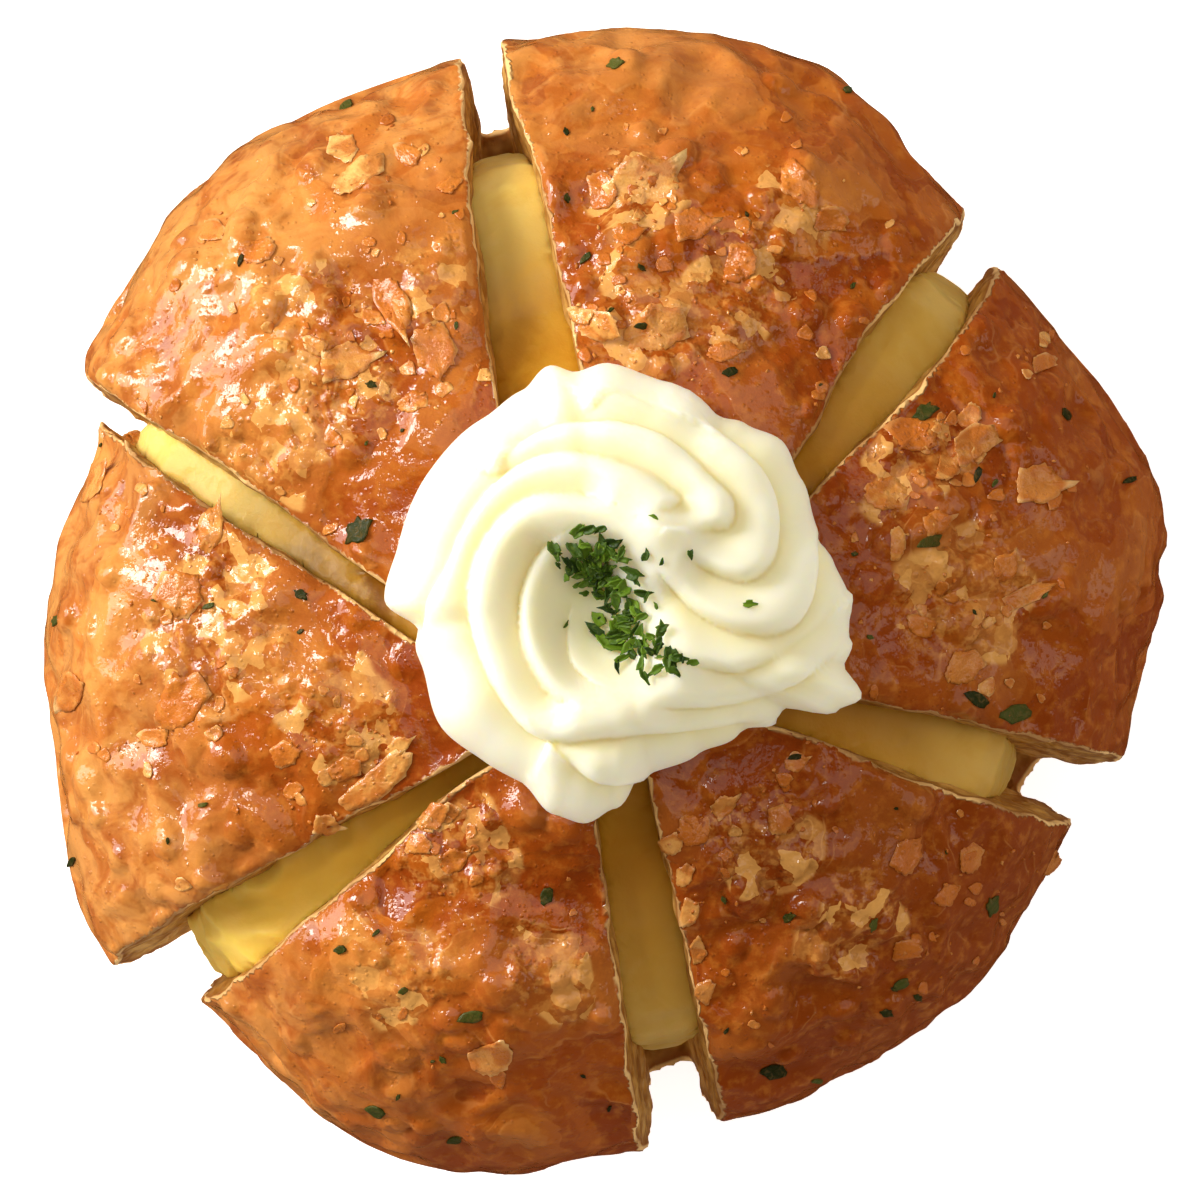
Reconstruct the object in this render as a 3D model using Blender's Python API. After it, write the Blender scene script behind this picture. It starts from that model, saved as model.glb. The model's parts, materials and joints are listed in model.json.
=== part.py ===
"""A round garlic bread, cut into six wedges that stay joined at the base.

Cream is piped into the cuts, and a piped cream rosette with chopped parsley sits on top.
Metres, +Z up. The origin is the middle of the underside, and +Y points to the top wedge.
"""

import math
import random

import bmesh
import bpy
from mathutils import Vector, noise
from mathutils.bvhtree import BVHTree
from mathutils.kdtree import KDTree

MM = 0.001

# Loaf: about 120 mm across, widest a little under half of its height.
LOAF_HEIGHT = 57 * MM
WIDEST_HEIGHT = 25 * MM
BASE_RADIUS = 42 * MM
DOME_PLAN_POWER = 0.80
DOME_RISE_POWER = 0.95
FLANK_POWER = 1.25

# Mesh of the loaf: where its widest ring and the edge of its underside fall on a ball, as sines of latitude.
BALL_CUTS = 3
BALL_WIDEST = -0.25
BALL_BASE = -0.70

# Wedges, counter-clockwise from the upper right cut: plan radius in mm after that cut, half way and before
# the next.
WEDGES = (
    ("top", 57.4, 61.9, 60.2),
    ("upper_left", 60.0, 61.5, 61.0),
    ("left", 56.4, 60.2, 65.4),
    ("bottom", 60.6, 63.8, 59.2),
    ("lower_right", 57.2, 57.4, 56.0),
    ("right", 58.2, 60.6, 55.6),
)
CORNER_ANGLE = 4.5

# Cuts: bearing in degrees, shift of the straight part to the left of the bearing, half the gap near the
# rosette, half way out and at the rim, then how far out the cream reaches and how deep it lies, all in mm.
CUTS = (
    ("upper_right", 52.3, -9.0, 1.8, 4.0, 3.4, 49.0, 4.5),
    ("top", 100.1, 2.3, 4.6, 4.0, 2.4, 48.0, 5.0),
    ("upper_left", 145.7, 13.0, 1.6, 2.2, 1.6, 50.0, 4.5),
    ("lower_left", 215.4, 6.2, 1.0, 3.2, 4.8, 55.5, 5.5),
    ("bottom", 280.2, -1.4, 3.1, 4.0, 4.6, 47.5, 8.0),
    ("lower_right", 344.1, -5.5, 2.2, 3.7, 4.2, 46.5, 5.5),
)
HUB = Vector((0.0, -9.0)) * MM
HUB_BEND = 20 * MM
INNER_STATION, MIDDLE_STATION, RIM_STATION = 22 * MM, 40 * MM, 57 * MM
CUT_FLOOR = 7 * MM
CUT_TOP = 70 * MM
CUT_LENGTH, CUT_OVERRUN = 74 * MM, 2 * MM
CUT_STATIONS = 13
FLOOR_WIDTH_SHARE = 0.45
FLOOR_WIDTH = 0.4 * MM
LEAN_HEIGHT = 8 * MM
EDGE_DROP = 1.8 * MM
EDGE_DROP_WIDTH = 3.6 * MM

# Crust relief: broad lumps, and crags between blisters. It is plain under the rosette and low on the flank.
LUMP_SIZE, LUMP_HEIGHT = 15 * MM, 1.5 * MM
CRAG_SIZE, CRAG_HEIGHT = 6.0 * MM, 1.1 * MM
RELIEF_START, RELIEF_FULL = 25 * MM, 30 * MM
RIM_SHARE = 0.995
FLANK_START, FLANK_FULL = 4 * MM, 14 * MM

# Flakes on the crust: x, y, length and width in mm, and turn in degrees. Smaller ones are strewn between.
FLAKES = (
    (-25.9, 45.6, 6.0, 3.6, 40), (-26.7, 25.1, 6.4, 4.2, 20), (-21.0, 30.8, 10.4, 4.6, -62),
    (-17.4, 24.6, 6.4, 4.2, -75), (4.4, 43.2, 9.4, 8.0, 50), (21.5, 44.4, 6.6, 5.0, -30),
    (3.6, 29.2, 9.0, 6.4, 40), (29.4, 17.6, 5.4, 3.6, 80), (31.2, 10.6, 5.2, 4.8, 10),
    (39.0, 18.2, 6.4, 4.4, 30), (46.4, 12.8, 5.2, 4.4, 0), (38.2, -6.5, 5.2, 4.4, 70),
    (45.8, 0.5, 7.0, 3.0, 20), (11.6, -26.6, 7.0, 5.4, 70), (28.8, -27.6, 9.6, 5.0, 75),
    (37.6, -32.0, 7.4, 5.0, 65), (-11.2, -48.4, 5.4, 4.0, 15), (-18.6, -24.0, 5.2, 3.4, 60),
    (-44.0, 4.0, 9.0, 4.6, 70), (-43.8, -11.6, 8.2, 6.2, 55), (-24.8, -16.6, 9.8, 3.4, 38),
    (-54.0, 10.4, 8.0, 2.8, 75), (-53.6, -12.0, 6.4, 3.4, 85),
)
FLAKE_CORNERS = 7
FLAKE_RISE, FLAKE_SINK = 0.6 * MM, 1.0 * MM
STREWN_FLAKES, STREWN_CORNERS = 24, 5
STREWN_SIZE = (2.4 * MM, 4.2 * MM)
STREWN_REACH = (29 * MM, 56 * MM)
STREWN_CLEARANCE, STREWN_SPACING = 2.5 * MM, 5 * MM

# Scraps of herb on the crust: x, y and length in mm, and turn in degrees.
HERBS = (
    (-27.0, 8.2, 3.6, 60), (-31.6, 0.4, 2.4, -20), (-5.7, -31.8, 2.6, 80), (-13.6, -43.8, 3.0, 10),
    (-24.0, -54.0, 2.8, -25), (18.4, -50.4, 3.4, 10), (31.8, -40.8, 2.6, 30), (20.2, -33.6, 2.6, 40),
    (41.6, -32.6, 2.8, 85), (39.8, -10.8, 3.2, -30), (44.4, -12.4, 4.2, 20), (34.6, 19.6, 3.6, 35),
    (36.0, 6.2, 3.6, 15), (13.8, 24.4, 2.8, 20), (-1.4, 36.0, 2.6, 45), (-27.0, 52.6, 3.0, 40),
)
HERB_CORNERS = 5
HERB_WIDTH_SHARE = 0.6
HERB_RISE, HERB_SINK = 0.55 * MM, 0.9 * MM

# Cream in the cuts, clear of their walls. Its outer end is a blunt nose.
WALL_GAP = 0.42 * MM
FILL_NOSE, FILL_FOOT = 4.5 * MM, 6 * MM
FILL_NOSE_POWER, FILL_NOSE_NARROWING = 3.2, 0.14
FILL_NOSE_STATIONS = (0.5, 0.8, 1.0)
FILL_STATIONS, FILL_START = 9, 1 * MM
FILL_CROWN, FILL_CROWN_WIDTH = 0.3 * MM, 0.5
FILL_WAVE, FILL_WAVE_LENGTH = 0.5 * MM, 21 * MM
FILL_UNDER_ROSETTE = 0.3 * MM
SUNK_START, SUNK_FULL = 10 * MM, 27 * MM

# Rosette: its skin runs from the dimple over the crest and down to the crust, where it rolls under.
ROSETTE_CENTRE = Vector((0.8, 0.0)) * MM
ROSETTE_HEIGHT = 15 * MM
ROSETTE_GAP = 0.45 * MM
SHOULDER_HEIGHT = 2.8 * MM
CREST_SHARE = 0.46
SIDE_POWER, FALL_POWER = 0.92, 0.85
ROLL_TURN, ROLL_UNDER = 0.58 * math.pi, 0.07
UNDERSIDE_SHARES = (0.66, 0.33)
RIDGE_DEPTH, RIDGE_LEVEL = 2.6 * MM, 0.6
RIDGE_RISE, RIDGE_FALL = 5.2 * MM, 1.9 * MM
RIDGE_END_ROWS = (1.85, 2.0)
OUTWARD_ROWS, OUTWARD_SHARE = (1.1, 1.8), 0.8
INNER_ROWS, SIDE_ROWS, COLUMNS = 7, 14, 76
DIMPLE_DEPTH, DIMPLE_CENTRE = 7.0 * MM, Vector((-0.6, -1.2)) * MM
DIMPLE_BEARING, DIMPLE_LENGTH, DIMPLE_WIDTH = 123.0, 12.5 * MM, 9.0 * MM
DIMPLE_RIDGE_SHARE = 0.5
PEAK = Vector((6.5, 7.9)) * MM
PEAK_HEIGHT, PEAK_WIDTH = 1.5 * MM, 2.6 * MM

# Rim of the rosette: bearing in degrees and radius in mm about its centre.
ROSETTE_RIM = (
    (0, 24.9), (10, 24.3), (20, 22.8), (32, 23.7), (42, 24.4), (52, 23.5), (62, 22.3), (75, 23.2),
    (90, 24.1), (98, 23.3), (104, 24.5), (112, 23.1), (125, 22.4), (145, 22.2), (165, 21.9), (180, 22.8),
    (190, 20.1), (200, 19.8), (218, 21.1), (232, 20.5), (245, 20.4), (256, 22.4), (264, 22.9), (272, 21.8),
    (285, 18.2), (300, 18.7), (315, 20.2), (328, 21.6), (334, 26.0), (339, 27.8), (345, 25.4), (360, 24.9),
)

# Creases between its ridges, counter-clockwise and outwards: depth from 0 to 1, then plan points in mm.
CREASES = (
    (0.55, ((-2.6, 0.6), (-3.4, -3.0), (-3.0, -6.4), (-1.0, -8.4), (1.6, -9.2))),
    (1.0, ((-3.6, 7.2), (-6.6, 4.6), (-8.2, 0.8), (-8.3, -3.6), (-6.9, -7.6), (-4.8, -10.2), (-1.6, -10.9))),
    (1.0, ((1.6, 10.0), (-2.6, 11.0), (-7.2, 10.8), (-10.6, 8.4), (-12.9, 4.8), (-13.8, 0.6), (-13.2, -4.4),
           (-10.9, -9.6), (-7.8, -13.8), (-4.6, -14.9), (1.6, -14.4), (8.7, -14.1), (14.0, -13.5),
           (18.6, -12.4))),
    (1.0, ((4.6, 8.8), (8.2, 10.2), (6.6, 12.0), (3.4, 13.9), (-0.6, 15.1), (-5.2, 15.4), (-9.0, 14.0),
           (-12.0, 11.4), (-14.6, 7.6), (-16.4, 3.6), (-18.2, 0.4), (-18.6, -2.6), (-17.6, -5.4))),
    (1.0, ((8.4, 7.5), (11.0, 7.3), (13.2, 7.5), (14.1, 9.0), (13.5, 11.2), (11.6, 13.0), (9.6, 15.2),
           (6.6, 17.4), (2.4, 18.7), (-2.4, 18.8), (-6.6, 17.9), (-9.4, 15.9), (-10.8, 13.6))),
    (1.0, ((8.0, 4.8), (10.6, 3.4), (13.0, 2.3), (15.3, 1.9), (17.5, 3.2), (18.8, 5.6), (19.0, 9.2),
           (18.0, 12.6), (16.0, 15.2), (13.0, 17.6), (9.4, 19.4))),
    (1.0, ((5.6, 3.4), (7.6, 1.0), (9.8, -1.2), (12.6, -2.8), (15.6, -3.6), (18.6, -3.6), (21.0, -2.4),
           (22.6, 0.4), (23.2, 4.6), (22.4, 9.0))),
    (0.8, ((8.6, -6.4), (11.4, -7.2), (14.4, -7.6), (17.2, -6.5), (20.2, -4.9), (23.4, -2.6), (25.6, 0.6))),
    (0.8, ((4.6, -11.0), (8.2, -11.3), (12.4, -11.2), (16.6, -10.4), (20.4, -9.0), (23.6, -6.8),
           (25.8, -4.0))),
    (0.9, ((-5.2, -15.0), (-3.6, -16.8), (-1.6, -18.6), (0.6, -19.6), (3.6, -19.5), (7.0, -18.6),
           (11.6, -17.0))),
    (0.45, ((9.2, 18.6), (6.6, 20.0), (3.4, 21.4), (0.8, 21.6), (-0.4, 20.6))),
)
CREASE_STEP, CREASE_FADE = 0.25 * MM, 4 * MM

# Chopped parsley, in a band across the dimple.
PARSLEY_BITS = 17
PARSLEY_SIZE = (1.8 * MM, 3.2 * MM)
PARSLEY_THICKNESS, PARSLEY_TILT = 0.8 * MM, (-0.4, 0.4)
PARSLEY_ENDS = (Vector((-3.8, 5.6)) * MM, Vector((2.8, -5.0)) * MM)
PARSLEY_SPREAD, PARSLEY_SPREAD_POWER = 2.1 * MM, 0.6

CRUST_COLOUR = (0.55, 0.19, 0.05)
FILLING_COLOUR = (0.74, 0.60, 0.27)
ROSETTE_COLOUR = (0.93, 0.88, 0.68)


# Small helpers


def clear_scene():
    for obj in list(bpy.data.objects):
        bpy.data.objects.remove(obj, do_unlink=True)


def smoothstep(low, high, value):
    share = min(1.0, max(0.0, (value - low) / (high - low)))
    return share * share * (3 - 2 * share)


def bearing_vector(degrees):
    return Vector((math.cos(math.radians(degrees)), math.sin(math.radians(degrees))))


def bearing_of(plan):
    return math.degrees(math.atan2(plan.y, plan.x)) % 360


def steps(start, end, count):
    return [start + (end - start) * i / (count - 1) for i in range(count)]


def make_material(name, colour, roughness):
    material = bpy.data.materials.new(name)
    material.use_nodes = True
    shader = material.node_tree.nodes["Principled BSDF"]
    shader.inputs["Base Color"].default_value = (*colour, 1.0)
    shader.inputs["Roughness"].default_value = roughness
    shader.inputs["Metallic"].default_value = 0.0
    return material


def add_object(name, bm, collection=None):
    bmesh.ops.recalc_face_normals(bm, faces=bm.faces[:])
    mesh = bpy.data.meshes.new(name)
    bm.to_mesh(mesh)
    bm.free()
    obj = bpy.data.objects.new(name, mesh)
    (collection or bpy.context.scene.collection).objects.link(obj)
    return obj


def new_collection(name):
    collection = bpy.data.collections.new(name)
    bpy.context.scene.collection.children.link(collection)
    return collection


def bridge_rings(bm, first, second):
    """Faces between two closed rings of equal length."""
    for i in range(len(first)):
        j = (i + 1) % len(first)
        bm.faces.new((first[i], first[j], second[j], second[i]))


def close_ring(bm, ring, middle):
    """A fan of triangles from a ring to a middle point."""
    for i in range(len(ring)):
        bm.faces.new((ring[i], ring[(i + 1) % len(ring)], middle))


def loft(bm, sections):
    """Joins sections of equal length into one closed body with flat ends."""
    rings = [[bm.verts.new(point) for point in section] for section in sections]
    for first, second in zip(rings, rings[1:]):
        bridge_rings(bm, first, second)
    bm.faces.new(rings[0])
    bm.faces.new(rings[-1])


def boolean(obj, operation, collection):
    """One Boolean with a whole collection, applied. The collection's objects are then removed."""
    modifier = obj.modifiers.new(operation.lower(), "BOOLEAN")
    modifier.operation = operation
    modifier.operand_type = "COLLECTION"
    modifier.collection = collection
    modifier.solver = "EXACT"
    with bpy.context.temp_override(object=obj, active_object=obj, selected_objects=[obj]):
        bpy.ops.object.modifier_apply(modifier=modifier.name)
    for other in list(collection.objects):
        bpy.data.objects.remove(other, do_unlink=True)
    bpy.data.collections.remove(collection)


# Cuts


class Cut:
    """One cut: its middle line is straight outside the rosette and bends to the hub under it."""

    def __init__(self, name, bearing, shift, inner, middle, rim, reach, depth):
        self.name = name
        self.along = bearing_vector(bearing)
        self.across = Vector((-self.along.y, self.along.x))
        self.shift = shift * MM
        self.half_gaps = (inner * MM, middle * MM, rim * MM)
        self.reach = reach * MM
        self.depth = depth * MM
        self.start = HUB.dot(self.along)
        self.rim_bearing = bearing_of(self.along * RIM_STATION + self.across * self.shift)

    def middle_shift(self, along):
        hub_shift = HUB.dot(self.across)
        return hub_shift + (self.shift - hub_shift) * smoothstep(self.start, self.start + HUB_BEND, along)

    def half_gap(self, along):
        inner, middle, rim = self.half_gaps
        if along < MIDDLE_STATION:
            return inner + (middle - inner) * smoothstep(INNER_STATION, MIDDLE_STATION, along)
        return middle + (rim - middle) * smoothstep(MIDDLE_STATION, RIM_STATION, along)

    def point(self, along, side):
        """The plan point this far out, and this far to the left of the middle line."""
        return self.along * along + self.across * (self.middle_shift(along) + side)

    def distance(self, plan):
        """How far a plan point is from the edge of the cut, or from the hub where it lies behind that."""
        along = plan.dot(self.along)
        if along < self.start:
            return (plan - HUB).length
        return max(0.0, abs(plan.dot(self.across) - self.middle_shift(along)) - self.half_gap(along))

    def section(self, along, inset, floor, top):
        """Four corners of the cut's cross-section. Its walls lean outwards from the floor."""
        crust_level = max(CUT_FLOOR + LEAN_HEIGHT, dome_height(self.point(along, 0.0)))
        wide = self.half_gap(along)
        narrow = wide * FLOOR_WIDTH_SHARE + FLOOR_WIDTH
        corners = []
        for side, height in ((-1, floor), (1, floor), (1, top), (-1, top)):
            share = (height - CUT_FLOOR) / (crust_level - CUT_FLOOR)
            plan = self.point(along, side * (narrow + (wide - narrow) * share - inset))
            corners.append(Vector((*plan, height)))
        return corners


ALL_CUTS = [Cut(*row) for row in CUTS]


def cut_distance(plan):
    return min(cut.distance(plan) for cut in ALL_CUTS)


# Form of the loaf


def outline_points():
    """Bearing and radius of the outline: each wedge after its cut, half way and before the next cut."""
    points = []
    for index, (_, first, middle, last) in enumerate(WEDGES):
        start = ALL_CUTS[index].rim_bearing
        end = start + (ALL_CUTS[(index + 1) % len(ALL_CUTS)].rim_bearing - start) % 360
        points.append((start + CORNER_ANGLE, first * MM))
        points.append(((start + end) / 2, middle * MM))
        points.append((end - CORNER_ANGLE, last * MM))
    return points


OUTLINE = outline_points()


def loaf_radius(bearing):
    """Plan radius of the widest ring, smooth between the outline's points."""
    start = OUTLINE[0][0]
    bearing = start + (bearing - start) % 360
    following = OUTLINE[1:] + [(start + 360, OUTLINE[0][1])]
    for (low, near), (high, far) in zip(OUTLINE, following):
        if bearing <= high:
            return near + (far - near) * smoothstep(low, high, bearing)
    return OUTLINE[0][1]


def plain_crust(bearing, sine):
    """A point of the loaf without relief. Sine runs from -1 on the underside to 1 at the crown."""
    radius = loaf_radius(bearing)
    direction = bearing_vector(bearing)
    if sine >= 0:
        plan = direction * radius * (1 - sine * sine) ** (DOME_PLAN_POWER / 2)
        height = WIDEST_HEIGHT + (LOAF_HEIGHT - WIDEST_HEIGHT) * sine**DOME_RISE_POWER
        open_crust = smoothstep(RELIEF_START, RELIEF_FULL, plan.length)
        height -= EDGE_DROP * math.exp(-cut_distance(plan) / EDGE_DROP_WIDTH) * sine * open_crust
        return Vector((*plan, height))
    base = (BALL_BASE - BALL_WIDEST) / (1 + BALL_WIDEST)
    if sine > base:
        turn = math.pi / 2 * sine / base
        radius = BASE_RADIUS + (radius - BASE_RADIUS) * math.cos(turn) ** FLANK_POWER
        return Vector((*(direction * radius), WIDEST_HEIGHT * (1 - math.sin(turn) ** FLANK_POWER)))
    flat = math.sqrt((1 - sine * sine) / (1 - base * base))
    return Vector((*(direction * BASE_RADIUS * flat), 0.0))


def crust_normal(bearing, sine):
    turn, rise = 0.5, 0.01
    sine = min(1 - 2 * rise, sine)
    east = plain_crust(bearing + turn, sine) - plain_crust(bearing - turn, sine)
    north = plain_crust(bearing, sine + rise) - plain_crust(bearing, sine - rise)
    return east.cross(north).normalized()


def relief(point):
    """Height of the crust's lumps and crags."""
    open_crust = smoothstep(RELIEF_START, RELIEF_FULL, point.xy.length)
    above_foot = smoothstep(FLANK_START, FLANK_FULL, point.z)
    lumps = noise.noise(point / LUMP_SIZE) * LUMP_HEIGHT
    crags = (0.5 - 2 * abs(noise.noise(point / CRAG_SIZE))) * CRAG_HEIGHT
    return open_crust * above_foot * (lumps + crags)


def crust(bearing, sine, lift=0.0):
    """A point of the crust with its relief, or this far above it."""
    point = plain_crust(bearing, sine)
    return point + crust_normal(bearing, sine) * (relief(point) + lift)


def crust_sine(plan):
    """The sine that puts a point of the dome above this plan point."""
    share = min(RIM_SHARE, plan.length / loaf_radius(bearing_of(plan)))
    return math.sqrt(1 - share ** (2 / DOME_PLAN_POWER))


def dome_height(plan):
    return plain_crust(bearing_of(plan), crust_sine(plan)).z


# Bread


def build_loaf():
    """The loaf before it is cut: a ball of even triangles drawn out to the crust."""
    bm = bmesh.new()
    bmesh.ops.create_icosphere(bm, subdivisions=3, radius=1.0)
    bmesh.ops.subdivide_edges(bm, edges=bm.edges[:], cuts=BALL_CUTS, use_grid_fill=True)
    for vert in bm.verts:
        direction = vert.co.normalized()
        above = direction.z > BALL_WIDEST
        sine = (direction.z - BALL_WIDEST) / (1 - BALL_WIDEST if above else 1 + BALL_WIDEST)
        bearing = bearing_of(direction.xy)
        vert.co = crust(bearing, sine) if above else plain_crust(bearing, sine)
    underside = [face for face in bm.faces if all(vert.co.z == 0 for vert in face.verts)]
    bmesh.ops.dissolve_faces(bm, faces=underside)
    return add_object("bread", bm)


def build_chip(name, plan, outline, rise, sink, collection):
    """A thin chip that follows the crust round a plan point. Its outline is in plan, about that point."""

    def place(offset, lift):
        there = plan + offset
        return crust(bearing_of(there), crust_sine(there), lift)

    bm = bmesh.new()
    upper = [bm.verts.new(place(point, rise)) for point in outline]
    lower = [bm.verts.new(place(point, -sink)) for point in outline]
    bridge_rings(bm, upper, lower)
    close_ring(bm, upper, bm.verts.new(place(Vector((0.0, 0.0)), rise)))
    close_ring(bm, lower, bm.verts.new(place(Vector((0.0, 0.0)), -sink)))
    return add_object(name, bm, collection)


def ragged_outline(length, width, turn, corners, draw):
    """An uneven closed outline about its middle, longer than it is wide."""
    along = bearing_vector(turn)
    across = Vector((-along.y, along.x))
    points = []
    for i in range(corners):
        angle = 2 * math.pi * (i + draw.uniform(-0.25, 0.25)) / corners
        reach = draw.uniform(0.75, 1.1) / 2
        points.append(along * math.cos(angle) * length * reach + across * math.sin(angle) * width * reach)
    return points


def add_flakes(collection):
    draw = random.Random(41)
    for index, (x, y, length, width, turn) in enumerate(FLAKES):
        outline = ragged_outline(length * MM, width * MM, turn, FLAKE_CORNERS, draw)
        build_chip(f"flake_{index}", Vector((x, y)) * MM, outline, FLAKE_RISE, FLAKE_SINK, collection)
    strewn = 0
    while strewn < STREWN_FLAKES:
        plan = bearing_vector(draw.uniform(0, 360)) * draw.uniform(*STREWN_REACH)
        size = draw.uniform(*STREWN_SIZE)
        outline = ragged_outline(size, size, 0, STREWN_CORNERS, draw)
        spacing = min((plan - Vector((x, y)) * MM).length for x, y, *_ in FLAKES + HERBS)
        if cut_distance(plan) > STREWN_CLEARANCE and spacing > STREWN_SPACING:
            build_chip(f"strewn_{strewn}", plan, outline, FLAKE_RISE, FLAKE_SINK, collection)
            strewn += 1


def add_herbs(collection):
    draw = random.Random(42)
    for index, (x, y, length, turn) in enumerate(HERBS):
        outline = ragged_outline(length * MM, length * HERB_WIDTH_SHARE * MM, turn, HERB_CORNERS, draw)
        build_chip(f"herb_{index}", Vector((x, y)) * MM, outline, HERB_RISE, HERB_SINK, collection)


def build_bread():
    bread = build_loaf()
    toppings = new_collection("toppings")
    add_flakes(toppings)
    add_herbs(toppings)
    boolean(bread, "UNION", toppings)
    cutters = new_collection("cutters")
    for cut in ALL_CUTS:
        bm = bmesh.new()
        stations = steps(cut.start - CUT_OVERRUN, CUT_LENGTH, CUT_STATIONS)
        loft(bm, [cut.section(along, 0.0, CUT_FLOOR, CUT_TOP) for along in stations])
        add_object("cutter_" + cut.name, bm, cutters)
    boolean(bread, "DIFFERENCE", cutters)
    bread.data.materials.append(make_material("crust", CRUST_COLOUR, 0.35))
    return bread


# Cream in the cuts


def filling_section(cut, along):
    """Six corners: two on the floor, two against the walls and two on the crown between them."""
    plan = cut.point(along, 0.0)
    sunk = smoothstep(SUNK_START, SUNK_FULL, (plan - ROSETTE_CENTRE).length)
    nose = min(1.0, max(0.0, 1 - (cut.reach - along) / FILL_NOSE))
    wave = FILL_WAVE * math.sin(2 * math.pi * along / FILL_WAVE_LENGTH + cut.shift / MM)
    foot = CUT_FLOOR + FILL_FOOT
    height = dome_height(plan) - FILL_UNDER_ROSETTE - (cut.depth - wave) * sunk
    height = foot + (height - foot) * math.sqrt(1 - nose**FILL_NOSE_POWER)
    low_left, low_right, high_right, high_left = cut.section(along, WALL_GAP, CUT_FLOOR + WALL_GAP, height)
    middle = (high_left + high_right) / 2
    crown = Vector((0, 0, FILL_CROWN * sunk))
    crown_right = middle.lerp(high_right, FILL_CROWN_WIDTH) + crown
    crown_left = middle.lerp(high_left, FILL_CROWN_WIDTH) + crown
    corners = [low_left, low_right, high_right, crown_right, crown_left, high_left]
    narrowing = FILL_NOSE_NARROWING * nose * nose
    return [corner.lerp(Vector((middle.x, middle.y, corner.z)), narrowing) for corner in corners]


def build_arm(cut):
    nose_start = cut.reach - FILL_NOSE
    body = steps(cut.start - FILL_START, nose_start, FILL_STATIONS)
    nose = [nose_start + FILL_NOSE * share for share in FILL_NOSE_STATIONS]
    bm = bmesh.new()
    loft(bm, [filling_section(cut, along) for along in body + nose])
    return bm


def build_filling():
    arms = new_collection("arms")
    for cut in ALL_CUTS[1:]:
        add_object("arm_" + cut.name, build_arm(cut), arms)
    filling = add_object("cream_filling", build_arm(ALL_CUTS[0]))
    boolean(filling, "UNION", arms)
    filling.data.materials.append(make_material("filling", FILLING_COLOUR, 0.4))
    return filling


# Rosette


def underside_height(plan):
    return dome_height(plan) + ROSETTE_GAP


def rosette_radius(bearing):
    bearing %= 360
    index = next(i for i in range(len(ROSETTE_RIM) - 1) if bearing < ROSETTE_RIM[i + 1][0])
    (start, low), (end, high) = ROSETTE_RIM[index:index + 2]
    return (low + (high - low) * smoothstep(start, end, bearing)) * MM


def smooth_line(points):
    """Close points on a smooth curve through the listed ones."""
    knots = [Vector(point) * MM for point in points]
    knots = [2 * knots[0] - knots[1]] + knots + [2 * knots[-1] - knots[-2]]
    line = []
    for a, b, c, d in zip(knots, knots[1:], knots[2:], knots[3:]):
        count = max(2, int((c - b).length / CREASE_STEP))
        for i in range(count):
            t = i / count
            bend = (2 * a - 5 * b + 4 * c - d) * t**2 + (3 * b - a - 3 * c + d) * t**3
            line.append((2 * b + (c - a) * t + bend) / 2)
    return line


def crease_points():
    """A tree of points on every crease, and for each the outward direction and the depth there."""
    places, outward, depths = [], [], []
    for depth, points in CREASES:
        line = smooth_line(points)
        end = (len(line) - 1) * CREASE_STEP
        for index, place in enumerate(line):
            run = line[min(index + 1, len(line) - 1)] - line[max(index - 1, 0)]
            length = index * CREASE_STEP
            fade = smoothstep(0, CREASE_FADE, length) * smoothstep(0, CREASE_FADE, end - length)
            places.append(place)
            outward.append(Vector((run.y, -run.x)))
            depths.append(depth * fade)
    tree = KDTree(len(places))
    for index, place in enumerate(places):
        tree.insert((*place, 0.0), index)
    tree.balance()
    return tree, outward, depths


CREASE_TREE, CREASE_OUTWARD, CREASE_DEPTHS = crease_points()


def ridge_height(plan):
    """0 in a crease. From it the skin rises gently outwards, and falls steeply into the next crease."""
    nearest = {}
    for place, index, distance in CREASE_TREE.find_range((*plan, 0.0), RIDGE_RISE):
        beyond = (plan - place.xy).dot(CREASE_OUTWARD[index]) > 0
        if beyond not in nearest or distance < nearest[beyond][0]:
            nearest[beyond] = (distance, CREASE_DEPTHS[index])
    height = 1.0
    for beyond, (distance, depth) in nearest.items():
        if beyond:
            rise = math.sin(distance / RIDGE_RISE * math.pi / 2)
        else:
            rise = math.sqrt(1 - (1 - min(1.0, distance / RIDGE_FALL)) ** 2)
        height *= 1 - depth * (1 - rise)
    return height


def dimple_share(plan):
    """1 in the middle of the dimple, falling to 0 round it."""
    along = bearing_vector(DIMPLE_BEARING)
    offset = plan - DIMPLE_CENTRE
    across = offset.x * along.y - offset.y * along.x
    return 1 - smoothstep(0.0, 1.0, math.hypot(offset.dot(along) / DIMPLE_LENGTH, across / DIMPLE_WIDTH))


def skin_profile(row):
    """Share of the radius and height above the crust, for a row from 0 in the middle to 2 under the roll."""
    if row <= 1:
        return CREST_SHARE * row, ROSETTE_HEIGHT
    turn = ROLL_TURN * (row - 1)
    under = smoothstep(math.pi / 2, ROLL_TURN, turn)
    share = CREST_SHARE + (1 - CREST_SHARE) * math.sin(min(turn, math.pi / 2)) ** SIDE_POWER
    fall = max(0.0, math.cos(turn)) ** FALL_POWER
    height = SHOULDER_HEIGHT + (ROSETTE_HEIGHT - SHOULDER_HEIGHT) * fall
    return share - ROLL_UNDER * under, height * (1 - under)


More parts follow.
